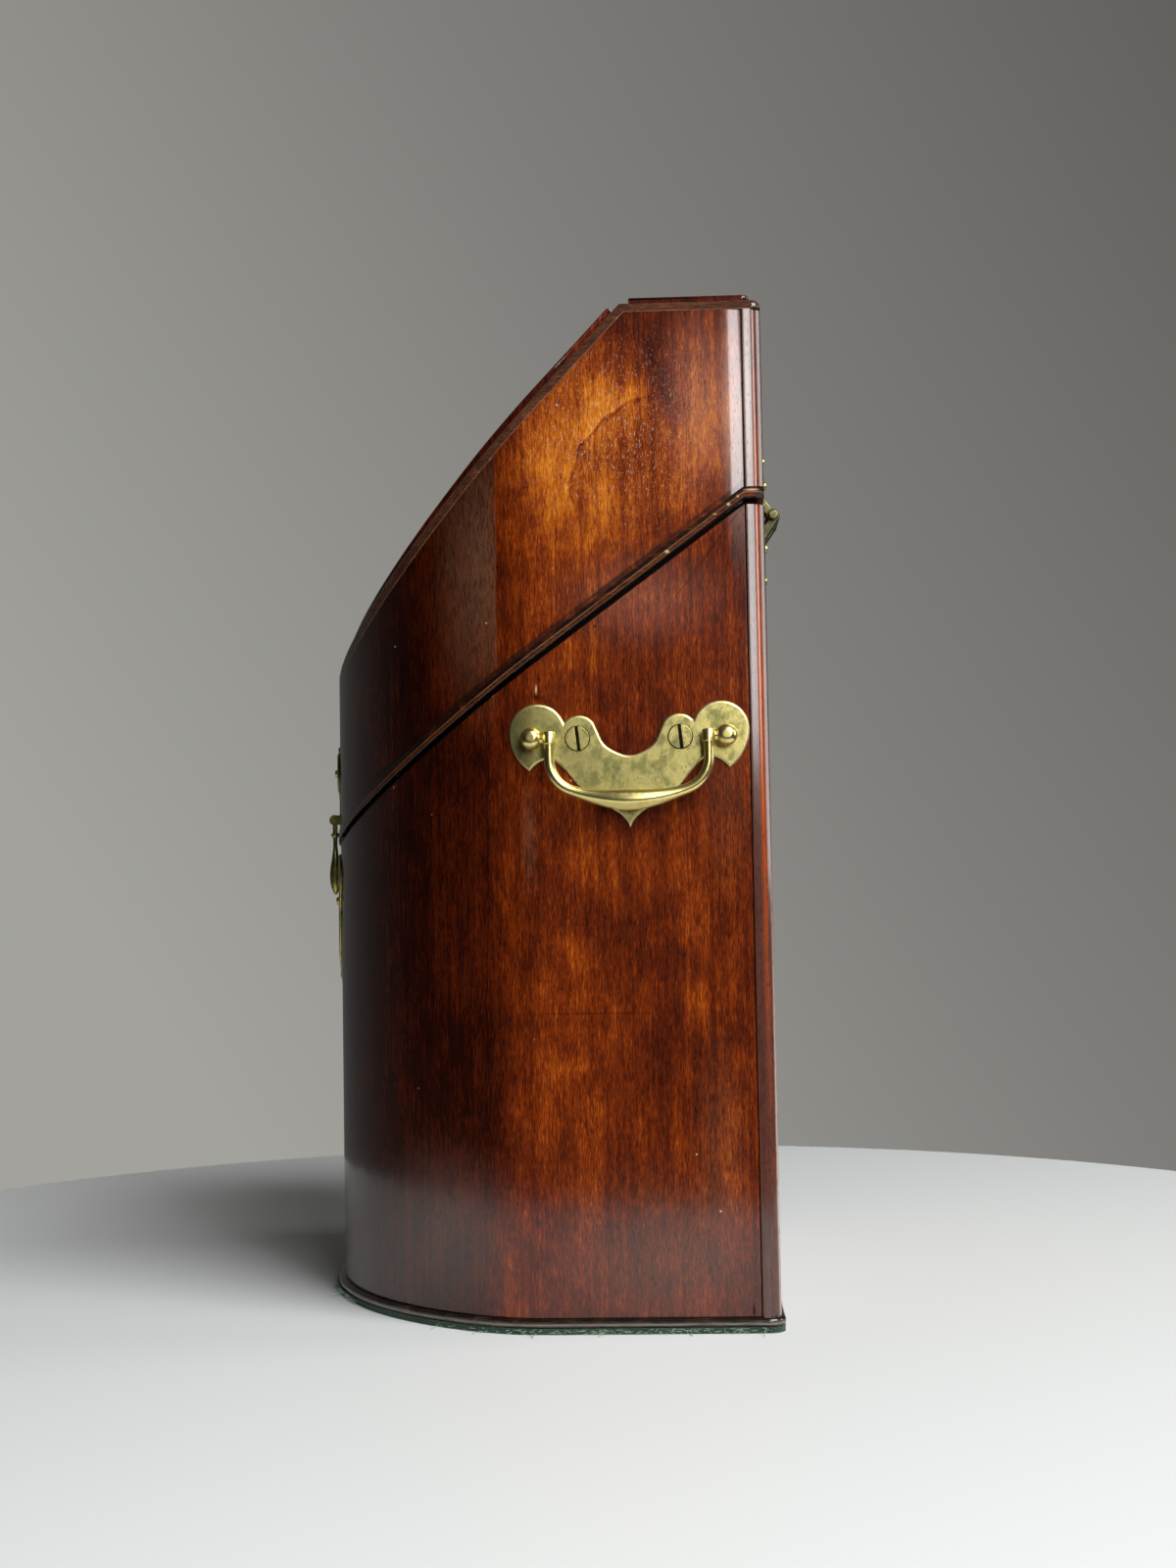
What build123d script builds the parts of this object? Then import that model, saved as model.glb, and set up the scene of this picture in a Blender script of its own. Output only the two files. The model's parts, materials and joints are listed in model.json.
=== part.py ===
from build123d import *
import math
import os

# Bow-fronted knife box with a sloping lid: a nosed base board on baize, a veneered case with a
# pierced rack inside, a hinged lid with raised panels, two side bails, a lock and a front drop.
# Millimetres. +X is the right side, +Y the back, +Z up. The origin is on the surface that the box
# stands on, in the middle of the case's width and depth.

# ---- case and lid ----
BODY_WIDTH = 223.0         # over the two flat sides
BODY_DEPTH = 172.0         # back face to the middle of the bow
SHOULDER_RADIUS = 57.5     # tighter curve where each side turns into the bow
SHOULDER_SWEEP = 28.0      # degrees that the shoulder turns before the bow takes over
WALL = 9.0                 # case walls
LID_WALL = 8.2             # lid walls, thinner so that the lid clears the rim strips
SEAM_HEIGHT = 297.3        # underside of the lid along the back
SEAM_FLAT = 7.5            # level part of the seam, forward from the back face
SEAM_DROP = 120.0          # fall of the seam from the back to the middle of the bow
SEAM_GAP = 2.2             # height of the shadow gap between case and lid
LID_RISE = 73.3            # flat top of the lid above its underside, at the back
LID_FRONT_RISE = 66.2      # upper edge of the lid above its underside, at the middle of the bow
TOP_DEPTH = 51.4           # flat top, back to ridge
BOARD = 8.0                # top and slope boards
EDGE_BAND = 3.8            # rounded edging round the lid's upper edges
EDGE_ROUND = 2.9           # radius of that edging's corner
LIP_HEIGHT = 3.4           # moulding along the lid's lower edge, square to the seam
LIP_PROUD = 0.9            # how far it stands out
LIP_DEPTH = 3.0            # how far it is let into the lid
PANEL_THICKNESS = 2.7      # raised panels on the lid
PANEL_INSET = 3.9          # panel edge from the lid's outline
PANEL_GAP = 3.4            # panel edge from the ridge
PANEL_ROUND = 1.1          # rounding of a panel's upper edges
LINING = 0.8               # velvet under the lid's boards
ROLL_LENGTH = 6.3          # the lid's sides roll off before the corner strips, over this length
ROLL_RADIUS = 28.0

# ---- base ----
BAIZE = 2.0
NOSING = 3.3               # height of the half-round base board
NOSING_PROUD = 2.5
NOSING_BACK = 1.5          # at the back it stands out less
BAIZE_INSET = 0.2
REAR_ROUND = 6.0           # rear corners of base board and baize
FLOOR = 6.0

# ---- rear corner strips ----
STRIP_LENGTH = 7.2         # along the side
STRIP_DEPTH = 5.5          # into the side
BEAD_RADIUS = 1.8
STRIP_ROUND = 3.3          # rounded rear corner of the strip
QUIRK = 0.2                # groove between side and bead

# ---- inside ----
RIM_THICKNESS = 3.0        # strips that line the case above the rack
RIM_RISE = 4.0             # how far they stand up inside the lid
RACK_THICKNESS = 6.0
RACK_SINK = 14.0           # rack's top below the edge of the case, measured upright
RACK_FIT = 0.3
SLOT_WIDTH = 12.0
SLOT_LENGTH = 22.0
SLOT_WEB = 20.0            # wood between slots in a row
ROW_WEB = 12.0             # wood between rows
RACK_MARGIN = 12.0         # first row from the back wall
RACK_EDGE = 6.0            # least wood between a slot and the rim strips
BATTEN = 8.0
BATTEN_START = 14.0        # from the back face
BATTEN_END = 72.0
BATTEN_CLEARANCE = 3.0     # front battens from the nuts of the handle

# ---- lock ----
LOCK_WIDTH = 36.0
LOCK_DEPTH = 10.0
LOCK_HEIGHT = 36.0
LOCK_COVER = 3.0           # wood in front of the lock
LOCK_SHELL = 1.2
LOCK_CAP = 1.0
LOCK_EAR = 6.0             # screwed ears at each side
LOCK_EAR_HEIGHT = 26.0
LOCK_FIT = 0.2
EAR_SCREW = 8.0            # length
EAR_SCREW_HEAD = 1.9
EAR_SCREW_SHANK = 1.0
BOLT_WIDTH = 5.0
BOLT_THICKNESS = 4.4
BOLT_TRAVEL = 6.0
BOLT_FIT = 0.2
BOLT_REST = 1.5            # bolt's foot above the key pin
TALON_RADIUS = 1.6         # where the key lifts the bolt
KEY_DROP = 20.0            # key pin below the lock's upper edge
KEY_PIN_RADIUS = 1.2
KEYHOLE_RADIUS = 2.4
KEYHOLE_SLOT = 8.0
KEYHOLE_SLOT_WIDTH = 2.6
MORTISE_ROOM = 5.5         # beside the bolt in the lid's front, behind the striker plate
STRIKER_ROOM = 1.0         # beside the bolt in the striker plate
STRIKER_WIDTH = 34.0
STRIKER_SET_BACK = 2.2     # from the bow's face
STRIKER_CLEARANCE = 0.15   # between striker and lock when the lid is shut

# ---- brass plates ----
PLATE = 1.2
NAIL_RADIUS = 1.5
NAIL_RISE = 0.9
NAIL_SHANK = 0.6
NAIL_DEPTH = 4.0

# ---- side bails ----
HANDLE_FROM_BACK = 50.5    # handle's middle from the back face
SIDE_END = 4.0             # side boards end this far ahead of the handle's plate
POST_SPACING = 70.0
SCREW_SPACING = 37.0
SCREW_RADIUS = 4.6
SCREW_RISE = 0.7
SCREW_SLOT = 0.9
SCREW_SHANK = 2.0
SCREW_LENGTH = 6.5
BALL_RADIUS = 3.9
POST_STANDOFF = 5.6        # pivot line from the side of the case
POST_STEM = 2.4
POST_SHANK = 1.6
NUT_RADIUS = 4.0
NUT_THICKNESS = 2.0
NUT_CLEARANCE = 0.35       # front nut below the rack
HANDLE_LOBE = 8.3          # plate past the middle of each post
HANDLE_PLATE_UP = 12.7     # plate above the pivots
HANDLE_PLATE_DOWN = 32.2   # plate's point below the pivots
BAIL_PIN = 1.2
PIN_CLEARANCE = 0.05
PIN_ENGAGEMENT = 3.2       # bail pin inside the ball
BORE_END = 0.6             # free depth past the pin's end
BAIL_LEG = 1.65            # radius of the bail's legs
BAIL_GRIP = 3.85           # radius at the middle of the grip
LEG_INSET = 6.5            # leg's middle from the post's middle
BAIL_DROP = 22.5           # pivots to the middle of the grip
BAIL_CORNER = 11.5         # bend from leg to grip
BAIL_TURN = 70.0           # degrees turned in that bend

# ---- front plates and drop ----
LOCK_PLATE_DOWN = 1.1      # lock plate below the edge of the case
LOCK_PLATE_HEIGHT = 59.0
LOCK_PLATE_HALF = 27.0
LID_PLATE_UP = 2.0         # lid plate above the lip moulding
LID_PLATE_HEIGHT = 39.5
LID_PLATE_HALF = 19.0
DROP_UP = 4.5              # drop's pin above the foot of the lid plate
DROP_STANDOFF = 4.0        # drop's hanging line from the bow's face
DROP_LENGTH = 31.0
DROP_BULB = 2.3
DROP_BULB_DOWN = 25.0      # fullest part below the pivot
DROP_NECK = 1.0
DROP_NECK_LENGTH = 3.0
DROP_TIP = 0.35
DROP_COLLAR = 1.7
DROP_COLLAR_LENGTH = 2.0
DROP_EYE = 2.2
DROP_EYE_WIDTH = 2.4
DROP_PIN = 0.9
CHEEK = 1.2
CHEEK_GAP = 0.3

# ---- hinges ----
HINGE_INSET = 45.0         # hinge's middle from the side of the case
HINGE_WIDTH = 26.0
HINGE_OFFSET = 4.7         # pin behind the back face
HINGE_DROP = 0.5           # pin below the lid's underside
KNUCKLE_RADIUS = 2.6
KNUCKLE_GAP = 0.4
HINGE_PIN = 1.25
PIN_END = 1.9
LEAF = 1.6
LEAF_LENGTH = 20.0
LEAF_START = 9.0           # leaf's root from the pin
LEAF_TIP = 6.0             # radius of the leaf's rounded tip
LEAF_SHOULDER = 3.0        # full width of the leaf past its root

# ---- derived places ----
HALF = BODY_WIDTH / 2
BACK = BODY_DEPTH / 2
FRONT = -BACK
SWEEP = math.radians(SHOULDER_SWEEP)
BOW_RADIUS = SHOULDER_RADIUS + (HALF - SHOULDER_RADIUS) / math.cos(SWEEP)
BOW_CENTRE = FRONT + BOW_RADIUS
SHOULDER_Y = BOW_CENTRE - (BOW_RADIUS - SHOULDER_RADIUS) * math.sin(SWEEP)
SEAM_FALL = SEAM_DROP / (BODY_DEPTH - SEAM_FLAT)
SEAM_COS = math.cos(math.atan(SEAM_FALL))
LID_TOP = SEAM_HEIGHT + LID_RISE
SLOPE = math.atan((LID_RISE + SEAM_DROP - LID_FRONT_RISE) / (BODY_DEPTH - TOP_DEPTH))
CASE_BOTTOM = BAIZE + NOSING
FLOOR_TOP = CASE_BOTTOM + FLOOR
REACH = BODY_WIDTH + BODY_DEPTH + LID_TOP      # larger than anything here, for cutting blocks
HANDLE_Y = BACK - HANDLE_FROM_BACK
POST_Y = [HANDLE_Y - POST_SPACING / 2, HANDLE_Y + POST_SPACING / 2]
SCREW_Y = [HANDLE_Y - SCREW_SPACING / 2, HANDLE_Y + SCREW_SPACING / 2]
SIDE_FRONT = POST_Y[0] - HANDLE_LOBE - SIDE_END
HINGE_X = HALF - HINGE_INSET
HINGE_Y = BACK + HINGE_OFFSET
HINGE_Z = SEAM_HEIGHT - HINGE_DROP
BAIL_X = HALF + POST_STANDOFF
RACK_RISE = RACK_THICKNESS / SEAM_COS          # rack's thickness, measured upright


def export(name, shape):
    export_step(shape, f"parts/{name}.step")


def group(shapes):
    """Several separate solids that share one node."""
    return Compound(children=[solid for shape in shapes for solid in shape.solids()])


def both_sides(shape):
    """The shape on the right and its mirror image on the left."""
    return [shape, mirror(shape, about=Plane.YZ)]


def plan(grow=0.0, back_grow=None, corner=0.0):
    """The case's outline from above, grown outwards (inwards if negative)."""
    half = HALF + grow
    back = BACK + (grow if back_grow is None else back_grow)
    shoulder = SHOULDER_RADIUS + grow

    def on_shoulder(turn):
        return (
            HALF - SHOULDER_RADIUS + shoulder * math.cos(turn),
            SHOULDER_Y - shoulder * math.sin(turn),
        )

    start, middle, end = (half, SHOULDER_Y), on_shoulder(SWEEP / 2), on_shoulder(SWEEP)
    nose = (0, BOW_CENTRE - BOW_RADIUS - grow)

    def left(point):
        return (-point[0], point[1])

    face = make_face([
        Line((half, back), start),
        ThreePointArc(start, middle, end),
        ThreePointArc(end, nose, left(end)),
        ThreePointArc(left(end), left(middle), left(start)),
        Line(left(start), (-half, back)),
        Line((-half, back), (half, back)),
    ])
    if corner > 0:
        face = fillet(face.vertices().group_by(Axis.Y)[-1], corner)
    return face


def half_width(y, inset):
    """Half the width inside the outline shrunk by inset, at depth y."""
    if y >= SHOULDER_Y:
        return HALF - inset
    bow = math.sqrt(max((BOW_RADIUS - inset) ** 2 - (y - BOW_CENTRE) ** 2, 0))
    shoulder_reach = (SHOULDER_RADIUS - inset) ** 2 - (y - SHOULDER_Y) ** 2
    if y > SHOULDER_Y - (SHOULDER_RADIUS - inset) * math.sin(SWEEP):
        return HALF - SHOULDER_RADIUS + math.sqrt(shoulder_reach)
    return bow


def upright(face, low, high):
    return extrude(Pos(0, 0, low) * face, high - low, dir=(0, 0, 1))


def across(points, left, right):
    """A solid with an outline of (y, z) points, from x = left to x = right."""
    outline = make_face(Polyline(*[(left, y, z) for y, z in points], close=True))
    return extrude(outline, right - left, dir=(1, 0, 0))


def seam(y):
    """Height of the lid's underside at depth y."""
    return SEAM_HEIGHT - max(BACK - SEAM_FLAT - y, 0) * SEAM_FALL


def case_edge(y):
    return seam(y) - SEAM_GAP


def under_seam(lift=0.0, left=-REACH, right=REACH):
    """Everything below the seam raised by lift, measured upright."""
    far = FRONT - HALF
    return across([
        (REACH, -REACH),
        (REACH, SEAM_HEIGHT + lift),
        (BACK - SEAM_FLAT, SEAM_HEIGHT + lift),
        (far, seam(far) + lift),
        (far, -REACH),
    ], left, right)


def ridge(inset):
    """Depth and height of the line where top and slope meet, inset into the boards."""
    return BACK - TOP_DEPTH + inset * math.tan(SLOPE / 2), LID_TOP - inset


def under_lid(inset=0.0):
    """Everything below the lid's top and slope, both lowered by inset."""
    y, z = ridge(inset)
    far = FRONT - HALF
    return across([
        (REACH, -REACH), (REACH, z), (y, z), (far, z - (y - far) * math.tan(SLOPE)), (far, -REACH),
    ], -REACH, REACH)


def behind_ridge():
    """Everything behind the mitre between the top board and the slope board."""
    top, bottom = ridge(-BOARD), ridge(2 * BOARD)
    return across([
        (REACH, bottom[1]), (REACH, top[1]), top, bottom,
    ], -REACH, REACH)


def ahead_of(y):
    return Pos(0, y - REACH / 2, 0) * Box(2 * REACH, REACH, 2 * REACH)


def right_of(x):
    return Pos(x + REACH / 2, 0, 0) * Box(REACH, 2 * REACH, 2 * REACH)


def split_walls(ring, wall):
    """A ring of walls as right side, left side, bow front and back board."""
    rear = ring - ahead_of(SIDE_FRONT)
    back = rear & Pos(0, BACK, 0) * Box(2 * (HALF - wall), 2 * wall, 2 * REACH)
    right = (rear - back) & right_of(0)
    return right, mirror(right, about=Plane.YZ), ring & ahead_of(SIDE_FRONT), back


def corner_strip():
    """Section of the beaded strip in the right rear corner, seen from above."""
    inner = HALF - STRIP_DEPTH
    bead = (HALF - BEAD_RADIUS, BACK - STRIP_LENGTH + QUIRK + BEAD_RADIUS)
    turn = (inner + STRIP_DEPTH - BEAD_RADIUS / 2 - STRIP_ROUND, BACK - STRIP_ROUND)
    core = make_face(Polyline(
        (inner, BACK), (inner, BACK - STRIP_LENGTH), (bead[0], BACK - STRIP_LENGTH),
        (bead[0], turn[1]), (turn[0], turn[1]), (turn[0], BACK), close=True,
    ))
    section = core + Pos(*bead) * Circle(BEAD_RADIUS) + Pos(*turn) * Circle(STRIP_ROUND)
    room = Pos(HALF - STRIP_DEPTH / 2, BACK - STRIP_LENGTH / 2) * Rectangle(STRIP_DEPTH, STRIP_LENGTH)
    return section & room


def strip_room():
    """The rebates that the corner strips sit in."""
    x, y = HALF - STRIP_DEPTH / 2, BACK - STRIP_LENGTH / 2
    rebate = Pos(x, y, 0) * Box(STRIP_DEPTH, STRIP_LENGTH, 2 * REACH)
    return rebate + mirror(rebate, about=Plane.YZ)


def bow_skin(inner, outer):
    """The space between two copies of the outline, for thin plates bent to the case."""
    return upright(plan(outer), CASE_BOTTOM, LID_TOP) - upright(plan(inner), CASE_BOTTOM, LID_TOP)


def on_front(face, inner, outer):
    """A flat outline of (x, z), bent round the bow between two offsets."""
    standing = Plane(origin=(0, BOW_CENTRE, 0), x_dir=(1, 0, 0), z_dir=(0, -1, 0)) * face
    return extrude(standing, BODY_DEPTH, dir=(0, -1, 0)) & bow_skin(inner, outer)


def mirrored_outline(right_half):
    """A face from the curves of its right half, which run from the middle line round to it."""
    return make_face(right_half + [mirror(edge, about=Plane.YZ) for edge in right_half])


# ---- places that follow the sloping edge of the case ----
RACK_UNDER = -SEAM_GAP - RACK_SINK - RACK_RISE         # rack's underside from the seam
HANDLE_HEIGHT = seam(POST_Y[0]) + RACK_UNDER - (NUT_RADIUS + NUT_CLEARANCE) / SEAM_COS
LOCK_PLATE_TOP = case_edge(FRONT) - LOCK_PLATE_DOWN
LOCK_PLATE_WAIST = LOCK_PLATE_TOP - 0.48 * LOCK_PLATE_HEIGHT
LID_PLATE_BOTTOM = seam(FRONT) + LIP_HEIGHT / SEAM_COS + LID_PLATE_UP
DROP_PIVOT = LID_PLATE_BOTTOM + DROP_UP
LOCK_FRONT = FRONT + LOCK_COVER
LOCK_REAR = LOCK_FRONT + LOCK_DEPTH
LOCK_TOP = case_edge(LOCK_FRONT)
LOCK_BOTTOM = LOCK_TOP - LOCK_HEIGHT
KEY_Z = LOCK_TOP - KEY_DROP
EAR_FRONT = FRONT + WALL
EAR_Z = LOCK_TOP - LOCK_HEIGHT / 2
BOLT_FRONT = LOCK_FRONT + LOCK_SHELL + BOLT_FIT
BOLT_REAR = BOLT_FRONT + BOLT_THICKNESS
BOLT_TOP = case_edge(BOLT_FRONT) - BOLT_FIT
BOLT_BOTTOM = KEY_Z + KEY_PIN_RADIUS + BOLT_REST


# ---- fasteners that are driven into the wood ----
def driven_nail(plate):
    """A round-headed nail along +Z through a plate whose back lies on Z = 0."""
    head = Pos(0, 0, plate) * Sphere(NAIL_RADIUS)
    head &= Pos(0, 0, plate + NAIL_RISE / 2) * Cylinder(NAIL_RADIUS, NAIL_RISE)
    return head + Pos(0, 0, (plate - NAIL_DEPTH) / 2) * Cylinder(NAIL_SHANK, plate + NAIL_DEPTH)


def front_nail(x, z):
    """A nail on the bow, square to the surface."""
    turn = math.degrees(math.asin(x / BOW_RADIUS))
    return Pos(0, BOW_CENTRE, z) * Rot(0, 0, turn) * Pos(0, -BOW_RADIUS, 0) * Rot(90, 0, 0) * (
        driven_nail(PLATE))


def lock_plate_nails():
    lift = 0.15 * LOCK_PLATE_HEIGHT
    spots = [(side * 0.84 * LOCK_PLATE_HALF, LOCK_PLATE_WAIST + lift) for side in (-1, 1)]
    spots.append((0, LOCK_PLATE_TOP - LOCK_PLATE_HEIGHT + lift))
    return group([front_nail(x, z) for x, z in spots])


def lid_plate_nails():
    top = LID_PLATE_BOTTOM + LID_PLATE_HEIGHT
    spots = [(side * 0.8 * LID_PLATE_HALF, top - 0.42 * LID_PLATE_HEIGHT) for side in (-1, 1)]
    spots.append((0, top - 0.15 * LID_PLATE_HEIGHT))
    return group([front_nail(x, z) for x, z in spots])


def hinge_nails(up):
    """Three nails through each leaf; up is 1 on the lid and -1 on the case."""
    root, tip = LEAF_START + LEAF_SHOULDER, LEAF_START + LEAF_LENGTH - LEAF_TIP
    spots = [(-HINGE_WIDTH / 3, root), (HINGE_WIDTH / 3, root), (0, tip)]
    nails = group([
        Pos(HINGE_X + x, BACK, HINGE_Z + up * z) * Rot(-90, 0, 0) * driven_nail(LEAF) for x, z in spots
    ])
    return group(both_sides(nails))


def bail_posts():
    """The right pair of ball-headed posts, bored for the ends of the bail."""
    posts = []
    for y, inward in zip(POST_Y, (1, -1)):
        tail_end = nut_seat(y) - NUT_THICKNESS
        bore_middle = y + inward * (BALL_RADIUS - PIN_ENGAGEMENT / 2)
        post = turned(POST_STEM, y, HALF, BAIL_X) + turned(POST_SHANK, y, tail_end, HALF)
        post += Pos(BAIL_X, y, HANDLE_HEIGHT) * Sphere(BALL_RADIUS)
        posts.append(post - Pos(BAIL_X, bore_middle, HANDLE_HEIGHT) * Rot(90, 0, 0) * Cylinder(
            BAIL_PIN + PIN_CLEARANCE, PIN_ENGAGEMENT + 2 * BORE_END))
    return group(posts)


def turned(radius, y, left, right):
    """A round bar along X at the height of the bail's pivots."""
    return Pos((left + right) / 2, y, HANDLE_HEIGHT) * Rot(0, 90, 0) * Cylinder(radius, right - left)


def nut_seat(y):
    """Inner face of the case where the nut of the post at depth y bears."""
    return half_width(y - NUT_RADIUS, WALL)


def handle_screws():
    """The right pair of slotted screws."""
    face = HALF + PLATE
    screws = []
    for y in SCREW_Y:
        slot = Pos(face + SCREW_RISE, y, HANDLE_HEIGHT) * Box(SCREW_RISE, SCREW_SLOT, 3 * SCREW_RADIUS)
        head = turned(SCREW_RADIUS, y, face, face + SCREW_RISE) - slot
        screws.append(head + turned(SCREW_SHANK, y, face - SCREW_LENGTH, face))
    return group(screws)


def lock_screws():
    """Four screws through the lock's ears into the back of the bow."""
    head = Pos(0, 0, SCREW_RISE / 2) * Cylinder(EAR_SCREW_HEAD, SCREW_RISE)
    screw = Rot(-90, 0, 0) * (head + Pos(0, 0, -EAR_SCREW / 2) * Cylinder(EAR_SCREW_SHANK, EAR_SCREW))
    return group([
        Pos(side * (LOCK_WIDTH + LOCK_EAR) / 2, LOCK_REAR, EAR_Z + up * LOCK_EAR_HEIGHT / 3) * screw
        for side in (-1, 1) for up in (-1, 1)
    ])


# ---- base ----
def make_base():
    nosed = upright(plan(NOSING_PROUD, NOSING_BACK, REAR_ROUND), BAIZE, CASE_BOTTOM)
    nosed = fillet(nosed.faces().sort_by(Axis.Z)[-1].edges(), NOSING * 0.45)
    nosed = fillet(nosed.faces().sort_by(Axis.Z)[0].edges(), NOSING * 0.45)
    export("base_board", nosed)
    baize = plan(NOSING_PROUD - BAIZE_INSET, NOSING_BACK - BAIZE_INSET, REAR_ROUND)
    export("base_baize", upright(baize, 0, BAIZE))


# ---- lock, inside the middle of the bow ----
def lock_body(grow=0.0):
    """The lock's outside, grown for the pocket it sits in."""
    half = LOCK_WIDTH / 2 + grow
    front, rear = LOCK_FRONT - grow, LOCK_REAR + grow
    case = across([
        (front, LOCK_BOTTOM - grow), (front, case_edge(front)), (rear, case_edge(rear)),
        (rear, LOCK_BOTTOM - grow),
    ], -half, half)
    ears = Pos(0, (EAR_FRONT + rear) / 2, EAR_Z) * Box(
        2 * (half + LOCK_EAR), rear - EAR_FRONT, LOCK_EAR_HEIGHT + 2 * grow)
    return case + ears


def lock_pocket():
    """Room for the lock, open upwards through the edge of the case."""
    half = LOCK_WIDTH / 2 + LOCK_FIT
    top = case_edge(LOCK_REAR) + RIM_RISE + 2 * SEAM_GAP
    above = Pos(0, (LOCK_FRONT + LOCK_REAR) / 2, (KEY_Z + top) / 2) * Box(
        2 * half, LOCK_DEPTH + 2 * LOCK_FIT, top - KEY_Z)
    return lock_body(LOCK_FIT) + above


def rack_notch():
    """The notch in the rack's front edge that clears the lock, its ears and their screws."""
    rear = LOCK_REAR + SCREW_RISE + RACK_FIT
    return Pos(0, (FRONT + rear) / 2, 0) * Box(
        LOCK_WIDTH + 2 * LOCK_EAR + 2 * RACK_FIT, rear - FRONT, 2 * REACH)


def key_hole(front, rear):
    """The keyhole's shape, from depth front to depth rear."""
    depth = rear - front
    middle = (front + rear) / 2
    barrel = Pos(0, middle, KEY_Z) * Rot(90, 0, 0) * Cylinder(KEYHOLE_RADIUS, depth)
    slot = Pos(0, middle, KEY_Z - KEYHOLE_SLOT / 2) * Box(KEYHOLE_SLOT_WIDTH, depth, KEYHOLE_SLOT)
    return barrel + slot


def bolt_bar(grow=0.0, beside=0.0):
    """The thrown bolt, grown all round and then widened, for the holes it passes through."""
    top, bottom = BOLT_TOP + BOLT_TRAVEL + grow, BOLT_BOTTOM - grow
    return Pos(0, (BOLT_FRONT + BOLT_REAR) / 2, (top + bottom) / 2) * Box(
        BOLT_WIDTH + 2 * (grow + beside), BOLT_THICKNESS + 2 * grow, top - bottom)


def make_lock():
    cavity_rear = LOCK_REAR - LOCK_CAP
    cavity = across([
        (LOCK_FRONT + LOCK_SHELL, LOCK_BOTTOM + LOCK_SHELL),
        (LOCK_FRONT + LOCK_SHELL, case_edge(LOCK_FRONT) - LOCK_SHELL),
        (cavity_rear, case_edge(cavity_rear) - 2 * LOCK_SHELL),
        (cavity_rear, LOCK_BOTTOM + LOCK_SHELL),
    ], LOCK_SHELL - LOCK_WIDTH / 2, LOCK_WIDTH / 2 - LOCK_SHELL)
    cap_room = Pos(0, cavity_rear + LOCK_CAP / 2, 0) * Box(
        LOCK_WIDTH - 2 * LOCK_SHELL, LOCK_CAP, 4 * REACH)
    cap = (lock_body() & cap_room) - across(
        [(FRONT, LOCK_TOP), (FRONT, REACH), (BACK, REACH), (BACK, LOCK_TOP)], -REACH, REACH)
    case = lock_body() - cavity - cap - bolt_bar(BOLT_FIT)
    case = case - key_hole(LOCK_FRONT - LOCK_SHELL, LOCK_FRONT + 2 * LOCK_SHELL) - lock_screws()
    pin_front = BOLT_FRONT + BOLT_FIT
    pin_length = cavity_rear - pin_front
    export("lock_case", case)
    export("lock_cap_plate", cap)
    export("lock_key_pin", Pos(0, cavity_rear - pin_length / 2, KEY_Z) * Rot(90, 0, 0)
           * Cylinder(KEY_PIN_RADIUS, pin_length))
    talon = Pos(0, (BOLT_FRONT + BOLT_REAR) / 2, BOLT_BOTTOM) * Rot(90, 0, 0) * Cylinder(
        TALON_RADIUS, 2 * BOLT_THICKNESS)
    bolt = bolt_bar() - Pos(0, 0, BOLT_TOP + REACH / 2) * Box(REACH, 2 * REACH, REACH) - talon
    export("lock_bolt", bolt)
    export("lock_screws", lock_screws())


# ---- case ----
def make_case():
    body = upright(plan(), CASE_BOTTOM, LID_TOP) & under_seam(-SEAM_GAP)
    ring = body - upright(plan(-WALL), CASE_BOTTOM, LID_TOP)
    right, left, bow, back = split_walls(ring - strip_room(), WALL)
    pocket = lock_pocket()
    metal = group([bail_posts(), handle_screws()])
    bow = bow - pocket - key_hole(FRONT - PLATE, LOCK_FRONT + LOCK_FIT) - lock_screws()
    bow = bow - lock_plate_nails() - group(both_sides(metal))
    export("case_side_right", right - metal)
    export("case_side_left", mirror(right - metal, about=Plane.YZ))
    export("case_bow_front", bow)
    export("case_back", back - hinge_nails(-1))
    export("case_floor", upright(plan(-WALL), CASE_BOTTOM, FLOOR_TOP))

    strip = upright(corner_strip(), CASE_BOTTOM, LID_TOP) & under_seam(-SEAM_GAP)
    export("case_corner_beads", group(both_sides(strip)))

    lining = upright(plan(-WALL), FLOOR_TOP, LID_TOP)
    lining -= upright(plan(-WALL - RIM_THICKNESS), FLOOR_TOP, LID_TOP)
    lining = (lining & under_seam(RIM_RISE)) - under_seam(-SEAM_GAP - RACK_SINK)
    rims = split_walls(lining - pocket, WALL + RIM_THICKNESS)
    for name, rim in zip(("right", "left", "front", "back"), rims):
        export(f"rim_strip_{name}", group([rim]) if len(rim.solids()) > 1 else rim)


def rack_rows():
    """The rack's rows of slots from the back to the front, each its depth y and its slots' x."""
    rows = []
    y = BACK - WALL - RACK_MARGIN - SLOT_LENGTH / 2
    while y - SLOT_LENGTH / 2 > FRONT + WALL + RIM_THICKNESS + RACK_EDGE:
        width = 2 * half_width(y - SLOT_LENGTH / 2, WALL + RIM_THICKNESS + RACK_EDGE)
        count = int((width + SLOT_WEB) / (SLOT_WIDTH + SLOT_WEB))
        first = -(count - 1) / 2 * (SLOT_WIDTH + SLOT_WEB)
        rows.append((y, [first + i * (SLOT_WIDTH + SLOT_WEB) for i in range(count)]))
        y -= SLOT_LENGTH + ROW_WEB
    return rows


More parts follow.
